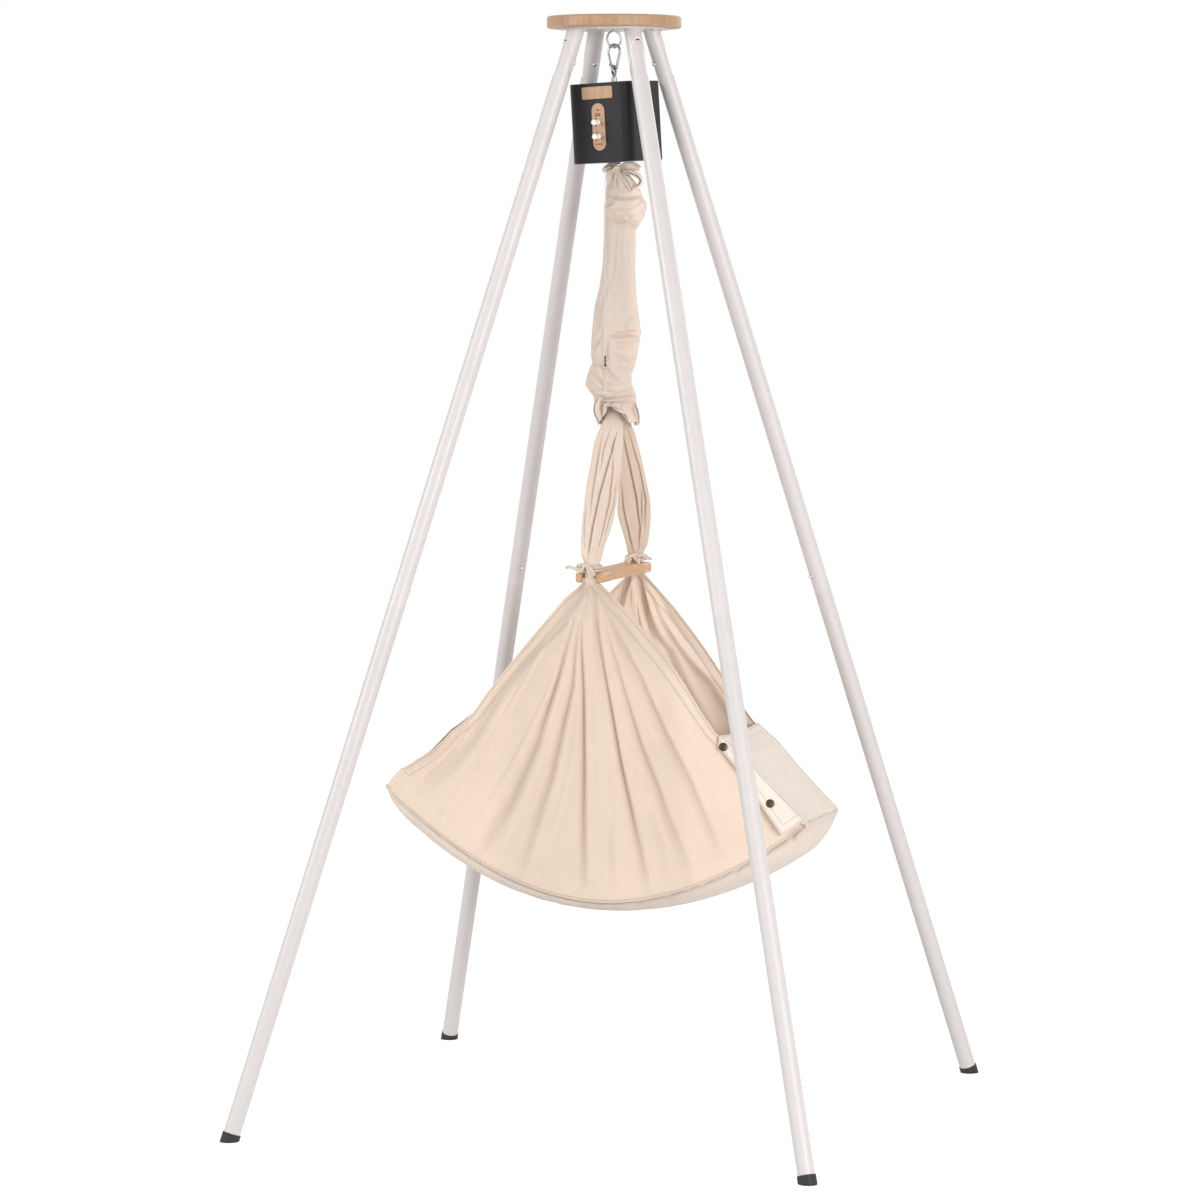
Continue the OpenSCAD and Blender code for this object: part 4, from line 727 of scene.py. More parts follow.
# ---- Seam binding along the lower edges -------------------------------------
xs = np.linspace(-BED + 30, BED - 8, 240)
for tag, side in (("near", -1), ("far", 1)):
    path = np.stack([xs, side * (bed_y(xs) + 2.4), seam_z(xs) - 4.0], -1)
    tube("seam_binding_" + tag, path, 1.35, mat_piping.m, "cradle",
         8, strands=2, lay=9)

# ---- Mattress pocket --------------------------------------------------------
def pocket_depth(x):
    close = 1 - (np.maximum(0, np.abs(x) - BED + 40) / 40) ** 2
    return (seam_z(x) - pocket_z(x)) * np.sqrt(np.maximum(0.002, close))


def make_pocket():
    x1 = np.sin(np.linspace(-np.pi / 2, np.pi / 2, 190)) * BED
    ang = np.linspace(0, np.pi, 121)
    x, t = np.meshgrid(x1, ang, indexing="ij")
    c, sn = np.cos(t), np.sin(t)
    below = pocket_depth(x) * sn ** 0.75
    corner = ease((-x - 325) / 60)
    recess = (6.0 - 6.6 * corner) * np.exp(-(below / 9.5) ** 2) \
        - (2.6 + 1.6 * corner) * np.exp(-((below - 26) / 12) ** 2) * np.abs(c) ** 0.5
    puff = ease((-x - 352) / 56) * np.sqrt(np.clip(1 - (c * 0.6) ** 2, 0.05, 1))
    y = -(bed_y(x) - recess) * np.sign(c) * np.abs(c) ** 0.7
    z = seam_z(x) - below
    p = np.stack([x - 13 * puff * ease(1.15 - below / 60), y, z], -1)
    swell = 1.8 * lumps(p, 70, 5.5) + 0.9 * lumps(p * [1, 0.4, 1], 24, 1.9)
    tuck = np.exp(-((below - 13) / 14) ** 2) * 1.7 \
        * (np.sin(x / 6.1 + 2 * np.sin(x / 37)) + 0.6 * np.sin(x / 3.3 + 1.3))
    inward = np.minimum(0, swell * sn + tuck * (1 - corner)) - 0.5 * sn
    p[..., 1] -= np.sign(y) * -inward * np.abs(c)
    p[..., 2] += -inward * sn
    uv = np.stack([x, t * 120], -1) * MM
    obj = grid("mattress_pocket_cloth", p, mat_pocket.m, "cradle",
               uv, 1.8, 1, flip=True)
    attribute(obj, "below", below * MM)
    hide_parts("mattress_pocket")
    return obj


pocket = make_pocket()

# ---- Mattress ---------------------------------------------------------------
def make_mattress():
    x1 = np.linspace(-0.905, 0.915, 90) * BED
    k = np.linspace(0, 2 * np.pi, 72, endpoint=False)
    x, t = np.meshgrid(x1, k, indexing="ij")
    e = np.clip((np.abs(x) / BED - 0.80) / 0.115, 0, 1)
    end = np.sqrt(np.maximum(0.02, 1 - e ** 2 * 0.98))
    w = (bed_y(x) - CLOTH - 1.5) * (1 - 0.05 * (1 - end))
    low = np.maximum(pocket_depth(x) - CLOTH - 2.5, 1) * end
    up = np.sin(t) < 0
    tuft = 1.6 * np.cos(x / 38) * np.cos(w * np.cos(t) / 30)
    top = (8 + tuft * 0.5) * end
    c, sn = np.cos(t), np.sin(t)
    y = -w * np.sign(c) * np.abs(c) ** np.where(up, 0.6, 0.72)
    z = seam_z(x) - np.where(up, top, low) * np.sign(sn) \
        * np.abs(sn) ** np.where(up, 0.8, 0.78)
    p = np.stack([x, y, z], -1)
    p[..., 2] += np.where(up, 0.8 * lumps(p, 60, 2.2), 0)
    verts = np.vstack([p.reshape(-1, 3), p[0].mean(0), p[-1].mean(0)])
    obj = make("mattress_pad", verts, closed_faces(*x.shape), mat_mattress.m,
               "cradle")
    uv = np.vstack([(p[..., :2] * MM).reshape(-1, 2), [[0, 0], [0, 0]]])
    set_uv(obj, uv)
    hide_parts("mattress")


make_mattress()

# ---- End panels -------------------------------------------------------------
PANEL_OUT, PANEL_RISE, FLARE = 4.6, 1.6, 0.26
PANEL_TOP, PANEL_LONG = 0.6, 560   # where they begin down the sides, and their mm
LEFT_IN, TUCK = 7.5, 9


def ridge_y(v):
    return fan_y(np.ones_like(v), v) + PANEL_OUT


def ridge_z(end, v):
    return fan_z(end * np.ones_like(v), v) + PANEL_RISE


def flap_drop(end, v):
    above = ridge_z(end, v) - seam_z(end * fan_x(np.ones_like(v), v)) - 5
    return np.minimum(18 + 140 * (v - PANEL_TOP), np.maximum(8, above))


def make_panel(name, end, node):
    """The cloth of an end: the left one is puffed, the right one has two flaps."""
    v1 = np.concatenate([np.linspace(PANEL_TOP, 1, 80), [1.006, 1.012, 1.018, 1.024]])
    flap = np.linspace(1, 0, 16)[:-1] if end > 0 else np.zeros(0)
    across = np.sin(np.linspace(-np.pi / 2, np.pi / 2, 80)[1:-1])
    c1 = np.concatenate([-1 - flap, [-1], across, [1], 1 + flap[::-1]])
    c, v_all = np.meshgrid(c1, v1)
    v = np.minimum(v_all, 1)
    d = np.clip(np.abs(c) - 1, 0, 1)
    past = (v_all - v) / 0.024 * (d == 0)
    ry, rz, fd = ridge_y(v), ridge_z(end, v), flap_drop(end, v)
    inner = np.clip(np.abs(c), 0, 1)
    if end < 0:
        y = inner * (ry - LEFT_IN)
    else:
        y = np.where(d > 0, ry + FLARE * fd * d + CLOTH * 0.6, inner * ry)
    sag = 5 * (1 - inner ** 2) \
        + 1.4 * np.sin(np.pi * (v - PANEL_TOP) / 0.4) * (1 - inner ** 4)
    z = rz - d * fd - sag + CLOTH * 0.55
    x = end * fan_x(np.ones_like(v), v)
    p = np.stack([x, np.sign(c) * y, z], -1)
    wrinkle = lumps(p * [0.5, 1, 0.5], 26, 4.4 + end)
    p[..., 2] += 0.8 * wrinkle * (1 - inner ** 8)
    p[..., 1] += np.sign(c) * 0.8 * np.maximum(0, wrinkle) * (d > 0)
    if end < 0:
        puff = 13.5 * ease((v_all - 0.80) / 0.12) * (1 - 0.25 * past)
        turn = np.radians(38 + 48 * ease((v_all - 0.84) / 0.17) + 40 * past)
        crown = 0.72 + 0.28 * (1 - inner ** 2)
        rays = np.sin(9.5 * np.arctan2(p[..., 1] * 0.5, 60 + 300 * (1 - v)) + 2.0)
        puff = puff * crown * (1 + 0.10 * lumps(p, 24, 3.3)) \
            + 1.3 * rays * ease((v_all - 0.84) / 0.08) * (1 - past)
        p[..., 0] -= puff * np.sin(turn)
        p[..., 2] += puff * np.cos(turn) - past * TUCK
    else:
        p[..., 0] += past * 1.5
        p[..., 2] -= past * TUCK
    width = np.where(d > 0, 120 + d * 50, inner * 120) * np.sign(c)
    uv = np.stack([width, (v_all - PANEL_TOP) * PANEL_LONG], -1) * MM
    obj = grid(name, p, mat_panel.m, "cradle", uv, 2.0,
               flip=end < 0)
    beside = np.where(d > 0, (1 - d) * fd, (1 - inner) * ry * 0.8)
    edge = np.minimum((v - PANEL_TOP) * PANEL_LONG, beside) * MM
    attribute(obj, "hem", edge)
    attribute(obj, "hem_run", (np.abs(width) + v * PANEL_LONG) * MM)
    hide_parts(node)
    return obj


panel_left = make_panel("end_panel_cloth_left", -1, "end_panel_left")
panel_right = make_panel("end_panel_cloth_right", 1, "end_panel_right")

# ---- Straps from the hanger ring to the spreader bar ------------------------
STRAP = np.array([  # part of the way down, half width, half thickness
    (0, 11, 4.2), (0.06, 14, 6), (0.16, 21, 8), (0.3, 28, 8.5), (0.46, 31, 8.5),
    (0.62, 31, 9), (0.78, 27, 10), (0.9, 19, 11), (1, 14.8, 11.4)])
# A strap's outlines and folds in the picture: left and right edge at each height,
# then [line, width, depth] of the long creases
STRAP_ROWS = {
    -1: [(409, 608, 621), (418, 604.5, 623), (430, 599, 623.5), (443, 594, 623.5),
         (465, 590, 621.5), (487, 586, 619), (503, 584, 617), (517, 582.5, 614.5),
         (531, 581.5, 610.5), (541, 581, 606.5), (552, 581, 603), (566, 582, 601)],
    1: [(409, 609, 624), (420, 612, 629.5), (433, 615, 635), (455, 618.5, 641),
        (473, 619.5, 645), (497, 618, 650), (509, 617, 651), (517, 618, 651),
        (530, 622, 650), (543, 626, 648), (556, 629, 644)]}
STRAP_FOLDS = {
    -1: [([(617, 429), (608, 462), (599, 495), (592, 528), (587, 558)], 1.5, 7.5),
         ([(603, 428), (598, 455), (592, 492), (589, 520)], 1.3, 3.2),
         ([(613, 440), (612, 470), (609, 500), (601, 535), (594, 560)], 1.4, 4.0),
         ([(611, 424), (603, 450), (600, 470)], 1.1, 2.8),
         ([(617, 470), (613, 505), (605, 532), (598, 558)], 1.2, 2.6),
         ([(586, 500), (584, 525), (584, 552)], 1.0, 2.0)],
    1: [([(621, 430), (629, 465), (636, 500), (639, 530), (637, 552)], 1.5, 4.5),
        ([(627, 430), (638, 465), (645, 500), (644, 530)], 1.3, 3.5),
        ([(621, 480), (623, 510), (630, 540), (634, 555)], 1.3, 3.5),
        ([(633, 450), (641, 490), (641, 520), (639, 548)], 1.1, 2.6)]}


def make_strap(name, side, node, material):
    seat = 2.5 + 0.3 + 4.2   # the ring's wire, a gap, half the strap's thickness
    start = np.array([0, side * seat, HANG_LOW])
    stop = np.array([0, side * (GATHER_Y - 5.8), BAR_Z + 24])
    down = (stop - start) / np.linalg.norm(stop - start)
    out = np.array([0, side * -down[2], side * down[1]])
    stations = []
    for ang in np.radians(np.linspace(0, 72, 9)):
        up = np.array([0, side * math.sin(ang), math.cos(ang)])
        stations.append((up * seat + [0, 0, HANG_LOW], up, 10, 4.2, 0))
    for k in np.linspace(0, 1, 110):
        hw, ht = [np.interp(k, STRAP[:, 0], STRAP[:, i]) for i in (1, 2)]
        seen = ease(k / 0.08) * ease((1 - k) / 0.06)
        stations.append((mix(start, stop, k), out, hw, ht, seen))
    flat = np.array([0, side, 0.0])
    for k in np.linspace(0.15, 1, 8):
        c = np.array([0, side * mix(GATHER_Y - 5.8, GATHER_Y - 1.5, ease(k)),
                      mix(BAR_Z + 24, BAR_Z + 11, k)])
        stations.append((c, out * (1 - k) + flat * k, mix(14.8, 11.9, k),
                         mix(11.4, 9.3, k), 0))
    stations.append((np.array([0, side * GATHER_Y, BAR_Z + 0.2]), flat, 11.9, 9.3, 0))
    k = np.linspace(0, 2 * np.pi, 132, endpoint=False)
    phase = np.random.default_rng(3 + side).uniform(0, 6.28, 4)
    edges = np.array(STRAP_ROWS[side])
    rings = []
    total = len(stations)
    for i, (c, o, hw, ht, seen) in enumerate(stations):
        q = i / total
        inside = math.sin(math.pi * min(1, max(0, (q - 0.04) / 0.90)))
        groove = 0.10 * np.abs(np.sin(2.5 * k + phase[0] + 0.9 * q)) \
            + 0.02 * np.abs(np.sin(8 * k + phase[1] - 1.7 * q))
        back = 0.5 - 0.5 * side * np.sin(k)
        f = 1 - groove * (0.45 + 0.55 * inside) * (0.6 + 0.6 * back)
        lo, hi = picture_edges(edges, c)
        centre = seen * 0.5 * (lo + hi)
        wide = mix(hw, 0.5 * (hi - lo), seen)
        lateral = mix(np.array([1.0, 0, 0]), RIGHT * 0.98, seen)
        rings.append(c + lateral * centre
                     + (wide * np.cos(k))[:, None] * lateral
                     + o[None] * (ht * f * np.sin(k))[:, None])
    p = np.array(rings)
    length = lengths(p[:, 33])
    u, v, _ = screen(p)
    facing = np.clip(-(out @ AWAY) * np.sin(k) * 2.2, 0, 1)[None, :]
    push = np.zeros(u.shape)
    for line, width, depth in STRAP_FOLDS[side]:
        push += stroke(u, v, line, width * 0.85, depth * 1.5)
    push *= facing
    push += 0.8 * lumps(p * [1, 1, 0.4], 17, 6.0 + side)
    toward = out if out @ AWAY < 0 else -out
    p = p + np.clip(push, -8, 2.5)[..., None] * toward
    uu, vv = np.meshgrid(k * 18, length)
    obj = grid(name, p, material.m, "cradle",
               np.stack([uu, vv], -1) * MM, wrap=True, flip=side > 0)
    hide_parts(node)


make_strap("strap_cloth_near", -1, "strap_near", mat_strap)
make_strap("strap_cloth_far", 1, "strap_far", mat_strap_far_shaded)

# ---- Spring sleeve ----------------------------------------------------------
SLEEVE_TOP = CASE_LOW - 8.6
BEHIND_CORD = -46.6   # the sleeve stays behind the safety cord
# Depth in the line of sight at each distance below the top
SLEEVE_DEEP = np.array([
    [0, 31], [8, 27], [18, 29], [36, 30], [56, 36], [86, 36], [112, 32], [132, 27.5],
    [176, 30], [214, 34], [248, 38], [276, 41], [312, 44], [352, 43], [398, 43],
    [420, 38], [436, 35], [456, 38], [480, 39]], float)
# Left and right edge in the picture at each height of it
SLEEVE_ROWS = np.array([
    [163, 604.5, 636], [167, 606.8, 626], [171, 607, 627], [177, 607, 631],
    [184, 607, 637], [190, 606.5, 640.5], [197, 606, 642.5], [203, 604.6, 646.6],
    [208, 604.2, 647], [218, 604.2, 643.7], [226, 604.2, 638], [232, 604.2, 635.2],
    [260, 602.8, 635.4], [287, 599.8, 635.7], [300, 596.5, 636.6], [307, 594.4, 637.4],
    [314, 593.4, 638.8], [325, 592.5, 640], [333, 591.8, 641.7], [339, 591.3, 640],
    [345, 591, 638.8], [356, 590.8, 636.9], [363, 592.3, 635.8], [368, 589.5, 634],
    [375, 587, 631.5], [385, 585, 632.5], [391, 589.5, 635], [396, 593.5, 636.4],
    [402, 594.5, 636.4], [408, 593.3, 637], [416, 594.6, 638.6], [424, 597.5, 639.2]])
SLEEVE_FOLDS = [
    ([(609, 188), (611, 177), (617, 168)], 1.4, 4.0),
    ([(618, 168), (617, 180), (618, 191)], 1.2, 3.0),
    ([(619, 169), (624, 179), (630, 190)], 1.3, 6.0),
    ([(620, 168), (628, 174), (637, 183)], 1.3, 4.0),
    ([(641, 194), (626, 197), (609, 194)], 2.8, 5.5),
    ([(613, 202), (604, 205)], 2.2, 4.0),
    ([(641, 200), (631, 207), (618, 208)], 2.0, 2.8),
    ([(645, 213), (636, 219), (630, 218), (620, 220), (608, 215)], 2.6, 6.5),
    ([(630, 218), (632, 225), (635, 232)], 2.2, 6.0),
    ([(616, 226), (613, 262), (609, 300)], 2.6, 2.2),
    ([(627, 236), (628, 275), (624, 312)], 2.6, 2.4),
    ([(620, 240), (621, 270), (617, 292)], 1.8, 1.3),
    ([(608, 282), (601, 306), (597, 330)], 2.2, 3.0),
    ([(634, 300), (631, 316), (622, 328)], 2.4, 2.8),
    ([(642, 335), (634, 333), (622, 335), (611, 334)], 2.7, 9.5),
    ([(637, 343), (624, 346), (612, 343)], 2.0, 3.0),
    ([(603, 335), (596, 345), (591, 356)], 1.8, 4.0),
    ([(607, 342), (606, 363)], 1.6, 3.2),
    ([(637, 362), (624, 358), (611, 352)], 1.8, 4.0),
    ([(624, 383), (610, 374), (600, 362)], 1.9, 4.6),
    ([(618, 389), (602, 383), (590, 371)], 1.8, 4.6),
    ([(631, 372), (622, 368), (616, 364)], 1.6, 3.0),
    ([(636, 392), (622, 397), (606, 400), (593, 396)], 1.5, 6.0),
    ([(636, 398), (630, 402), (612, 406), (595, 402)], 1.2, 4.6),
    ([(633, 387), (615, 393), (598, 391)], 1.2, 3.6),
    ([(604, 404), (600, 414), (600, 424)], 1.6, 4.6),
    ([(611, 406), (609, 424)], 1.4, 3.4),
    ([(620, 405), (622, 424)], 1.6, 4.6),
    ([(629, 403), (634, 422)], 1.5, 4.0)]


def make_sleeve():
    d1 = np.linspace(0, 480, 400)
    k = np.linspace(0, 2 * np.pi, 190, endpoint=False)
    d, t = np.meshgrid(d1, k, indexing="ij")
    axis = np.stack([0 * d, 0 * d, SLEEVE_TOP - d], -1)
    _, v0, scale = screen(axis)
    lo, hi = picture_edges(SLEEVE_ROWS, axis)
    deep = np.interp(d, SLEEVE_DEEP[:, 0], SLEEVE_DEEP[:, 1])
    centre, wide = 0.5 * (lo + hi), 0.5 * (hi - lo)
    ct, st = np.cos(t), np.sin(t)
    around = RIGHT * ct[..., None] + AWAY * st[..., None]
    p = axis + RIGHT * (centre + wide * ct)[..., None] + AWAY * (deep * st)[..., None]
    u, v, _ = screen(p)
    push = np.zeros(d.shape)
    for line, width, depth in SLEEVE_FOLDS:
        push += stroke(u, v, line, width, depth * 1.45, 0.5)
    front = ease(-st * 1.6 + 0.05)
    push *= front
    top = ease((40 - d) / 34)
    low = ease((d - 430) / 36)
    body = 1 - np.maximum(top, low)
    wrap = 0.5 * np.sin(4 * t + d / 17 + 1.5 * np.sin(t)) + 0.5 * np.sin(3 * t - d / 31)
    back = 1 - front
    edge = np.clip(np.abs(st) * 2.2, 0.25, 1)
    push += body * back * edge * (2.4 * wrap + 2.6 * lumps(p * [1, 1, 0.6], 24, 2.7))
    push += edge * (0.9 * lumps(p * [1, 1, 0.5], 12, 7.1)
                    + 1.0 * lumps(p * [1, 1, 0.6], 31, 4.4))
    push += top * 4.2 * np.sin(7 * t + 1.1 * np.sin(2 * t)) * edge
    push += low * 3.0 * np.sin(9 * t + 0.6) * edge
    p = p + around * np.clip(push, -13, 5.5)[..., None]
    coil = ease((d - 56) / 12) * ease((286 - d) / 12)
    keep = mix(12.2, 18.0, coil)   # outside the spring's hooks and its coil
    r = np.hypot(p[..., 0], p[..., 1])
    p[..., :2] *= np.maximum(1, keep / np.maximum(r, 1))[..., None]
    beside = np.exp(-(p[..., 0] / 9) ** 4) * ease((372 - d) / 10)
    p[..., 1] = np.where(p[..., 1] < BEHIND_CORD,
                         mix(p[..., 1], BEHIND_CORD, beside), p[..., 1])
    p[..., 2] += top * 1.6 * np.sin(7 * t) * ease((8 - d) / 8) - 0.5 * top
    p[..., 2] += low * 2.6 * np.sin(9 * t + 0.6) * ease((d - 462) / 18)
    rim = np.interp(u, [590, 594, 600, 604, 608, 613, 620, 626, 631, 640],
                    [417, 421, 420, 412, 406, 406, 411, 416, 421, 424])
    rim = mix(np.interp(480.0, d1, v0[:, 0]), rim, front)
    p[..., 2] += ease((d - 416) / 64) * (d - 416) / 64 * (v0[-1, 0] - rim) / scale
    uv = np.stack([t * 38, d], -1) * MM
    obj = grid("sleeve_cloth", p, mat_sleeve.m, None, uv, 1.6, -1,
               wrap=True, flip=True)
    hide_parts("spring_sleeve")
    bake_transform(obj)
    return obj


def at_picture(u, v, toward):
    """The point that shows at (u, v), that far (mm) in front of the hang axis."""
    z = 1500.0
    for _ in range(4):
        q = np.array([0, 0, z]) - AWAY * toward
        u0, v0, scale = screen(q)
        z -= (v - v0) / scale
    return q * [1, 1, 0] + RIGHT * (u - u0) / scale + np.array([0, 0, z])


def make_curl(name, body, line, radii, arc, turn=0.0):
    """A rolled edge of cloth along picture points (u, v, mm in front of the axis)."""
    pts = [at_picture(*q) for q in line]
    path, run = smooth_path(pts, 1.2)
    r = np.interp(run / run[-1], np.linspace(0, 1, len(radii)), radii)
    t, _, _ = frames(path, AWAY)
    n = AWAY - t * (t @ AWAY)[:, None]
    n /= np.linalg.norm(n, axis=1)[:, None]
    b = np.cross(t, n)
    k = np.radians(np.linspace(-arc, arc, 34) + turn)
    curl = 1 - 0.22 * np.abs(np.linspace(-1, 1, 34)) ** 2
    p = path[:, None] + (r[:, None] * curl)[..., None] * (
        np.cos(k)[None, :, None] * n[:, None]
        + np.sin(k)[None, :, None] * b[:, None])
    p += (0.7 * lumps(p, 9, 3.7))[..., None] * b[:, None]
    uv = np.stack(np.meshgrid(np.linspace(0, 40, 34), run), -1) * MM
    return grid(name, p, mat_sleeve.m, body, uv, 1.3)


sleeve = make_sleeve()
make_curl("sleeve_petal_right", "drive",
          [(619, 167.5, 25), (626, 166.5, 23), (634, 166.5, 20), (640.5, 168.5, 15)],
          [2.5, 7.5, 9.0, 8.0, 4.5], 118)
make_curl("sleeve_petal_left", "drive",
          [(617.5, 167.5, 25), (612, 167, 24), (606.5, 168.5, 21), (602.8, 171.5, 16)],
          [2.2, 6.0, 7.2, 6.0, 3.2], 116)
make_curl("sleeve_collar", "drive",
          [(622, 172, 29), (630, 172.5, 29), (638, 176, 25), (641, 181, 23),
           (638, 185.5, 26), (632, 189, 30)], [2.4, 4.2, 4.8, 4.2, 3.4, 2.0], 152, 25)
make_curl("sleeve_free_edge", "drive",
          [(618.2, 169, 27), (621.5, 175, 29), (626, 183, 31), (630.5, 191, 33)],
          [1.6, 2.6, 2.8, 1.5], 150, -70)
make_curl("sleeve_lobe_low", "cradle",
          [(600, 397, 33), (596.5, 404, 33), (596.5, 412, 33), (599.5, 420.5, 33)],
          [2.6, 5.2, 6.2, 3.6], 150, 60)
ring_path = [at_picture(*q) for q in [
    (605, 409, 30), (608, 406.5, 36), (613, 406.5, 38), (619, 410, 38),
    (624, 415.5, 36), (627, 421, 32)]]
tube("sleeve_foot_wire", smooth_path(ring_path, 1.2)[0], 0.9,
     BY_SLOT["polished_steel"].m, "cradle", 10, start=(0, 1, 0))
make_curl("sleeve_petal_low", "cradle",
          [(634, 403, 24), (636, 410, 24), (637.5, 417, 23), (639, 423.5, 21)],
          [2.4, 4.8, 4.4, 1.4], 140, -40)

# ---- Spring -----------------------------------------------------------------
def make_spring():
    h, r, turns, pitch = 8.0, 14.0, 29, 6.45
    top, low = 1765.54, 1357.54
    c1, c2 = top - h, low + h
    curl1 = top - h - 58
    curl2 = curl1 - turns * pitch
    a = np.radians(np.arange(180, -1, -10))
    up = np.stack([h * np.cos(a), 0 * a, c1 + h * np.sin(a)], -1)
    lead = np.array([[h + 1, 0, (c1 + curl1) / 2], [r - 1, -1, curl1 + 5]])
    t = np.linspace(0, 2 * np.pi * (turns + 0.25), int(turns * 20))
    coil = np.stack([r * np.cos(t), r * np.sin(t),
                     curl1 - (curl1 - curl2) * t / t[-1]], -1)
    tail = np.array([[-1, r - 1, curl2 - 5], [0, h + 1, (c2 + curl2) / 2]])
    b = np.radians(np.arange(0, -181, -10))
    down = np.stack([0 * b, h * np.cos(b), c2 + h * np.sin(b)], -1)
    path = np.vstack([[[-h, 0, c1 - 3]], up, lead, coil, tail, down, [[0, -h, c2 + 3]]])
    obj = tube("main_spring_wire", path, 2.0, BY_SLOT["spring_steel"].m, None,
               10, start=(0, 1, 0))
    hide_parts("main_spring")
    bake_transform(obj)
    return obj


make_spring()

# ---- Safety cord ------------------------------------------------------------
CORD_TOP, OUT = 1774.0, 50.0
JOIN = CORD_TOP - 352
upper, _ = smooth_path([(0, -8.6, CORD_TOP), (0, -20, CORD_TOP), (0, -38, CORD_TOP - 1),
                        (0, -OUT + 4, CORD_TOP - 5), (0, -OUT, CORD_TOP - 14),
                        (0.4, -OUT, CORD_TOP - 105.6), (-0.4, -OUT, CORD_TOP - 211.2),
                        (0, -OUT, JOIN)], 2.0)
cord_up = tube("safety_cord_upper", upper, 0.8, mat_wire_cord.m, None,
               8, strands=6, lay=6, start=(1, 0, 0))
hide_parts("safety_cord")
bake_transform(cord_up)
ang = np.linspace(0, 2 * np.pi, 49)
loop = np.stack([8.4 * np.cos(ang), 8.4 * np.sin(ang), 0 * ang + CORD_TOP], -1)
tube("safety_cord_loop", loop, 0.8, mat_wire_cord.m, "drive", 8,
     start=(0, 0, 1))
z0 = JOIN - 0.3
end = np.array([-16, -3.6, HANG_Z - 12.8])
bend = np.array([-1, -OUT + 1, HANG_Z + 4])
lower, _ = smooth_path([(0, -OUT, z0 - 26), (0, -OUT, z0 - 45), (0, -OUT, z0 - 60),
                        tuple(bend + [0.3, -0.3, 5]), tuple(mix(bend, end, 0.12)),
                        tuple(mix(bend, end, 0.5)), tuple(end)], 2.0)
cord_low = tube("safety_cord_lower", lower, 0.8, mat_wire_cord.m, "cradle",
                8, strands=6, lay=6, start=(1, 0, 0))
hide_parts("cord_hook")


def ring(name, centre, radius, wire, material, body, turn=0.0, arc=(0, 360)):
    a = np.radians(np.linspace(arc[0], arc[1], 49))
    plane = np.array([math.cos(turn), math.sin(turn), 0.0])
    path = np.asarray(centre, float) + radius * (
        np.cos(a)[:, None] * plane + np.sin(a)[:, None] * np.array([0, 0, 1.0]))
    return tube(name, path, wire, material, body, 12,
                start=np.cross(plane, [0, 0, 1.0]))


hook_c = np.array([0, -OUT, z0 - 10])
hook_eye = ring("cord_hook_eye", hook_c, 2.4, 0.8, mat_bronze.m, "cradle",
                math.pi / 2)
shank = [(0, -OUT, z0 - q) for q in (7.2, 5, 1.2, 0.2)]
hook_shank = tube("cord_hook_shank", smooth_path(shank, 0.5)[0], 1.7, mat_bronze.m,
                  "cradle", 12, taper=1.2, start=(1, 0, 0))
hook_bill = ring("cord_hook_bill", hook_c + [0, 0, -6.6], 3.4, 0.9, mat_bronze.m,
                 "cradle", math.pi / 2, (-230, 50))
split_ring = ring("cord_split_ring", (0, -OUT, z0 - 21.8), 4.2, 0.7, mat_brass.m,
                  "cradle", 0.0)

# ---- Tie cords at the spreader bar ------------------------------------------
def make_tie(name, side):
    rx, ry, z = 18.9, 17.3, BAR_Z + 12.8
    pts = [(-40, -25, z + 5), (-33, -31, z + 8), (-24, -27, z + 5), (-13, -23, z + 1)]
    for a in range(-90, 601, 30):
        g = 0.4 if a > 270 else 0
        pts.append(((rx + g) * math.cos(math.radians(a)),
                    (ry + g) * math.sin(math.radians(a)),
                    z - 0.6 + 6.0 * (a + 90) / 360))
    pts += [(-8, -24, z + 12), (4, -27.5, z + 9), (12, -28, z + 1), (17, -27.5, z - 8)]
    pts = [(-side * x, y + side * (GATHER_Y - 3), q) for x, y, q in pts]
    path, _ = smooth_path(pts, 1.4)
    return tube(name, path, 2.9, mat_cord.m, "cradle", 20, strands=3,
                lay=13, taper=2.5)


def make_knot(name, side, place, size):
    """An overhand knot in the tie cord, with its two short ends."""
    t = np.linspace(0.35, 2 * np.pi - 0.35, 70)
    q = np.stack([np.sin(t) + 2 * np.sin(2 * t), -1.5 * np.sin(3 * t),
                  np.cos(t) - 2 * np.cos(2 * t)], -1) * size
    tail = q[0] + np.array([[-10, -2, -9], [-5, -1, -5]]) * size / 2.2
    other = q[-1] + np.array([[5, -1, -6], [9, -1, -13]]) * size / 2.2
    pts = np.vstack([tail, q, other]) * [-side, 1, 1] + place
    return tube(name, smooth_path(pts[::2], 1.0)[0], 2.6, mat_cord.m, "cradle",
                16, strands=3, lay=12, taper=2.0)


tie_near = make_tie("tie_cord_near", -1)
make_tie("tie_cord_far", 1)
for tag, side in (("near", -1), ("far", 1)):
    lash = [(side * x, side * (GATHER_Y - 3) + y, BAR_Z + z) for x, y, z in (
        (2, -22, 26), (-3, -27, 16), (-8, -28.5, 4), (-9, -27, -9), (-6, -21, -15))]
    tube("tie_lashing_" + tag, smooth_path(lash, 1.2)[0], 2.7, mat_cord.m, "cradle",
         18, strands=3, lay=13, taper=2.5, start=(1, 0, 0))
    make_knot("tie_knot_" + tag, side,
              np.array([side * 12, side * (GATHER_Y - 3) - 23.5, BAR_Z + 19]), 2.4)
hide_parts("tie_cords")

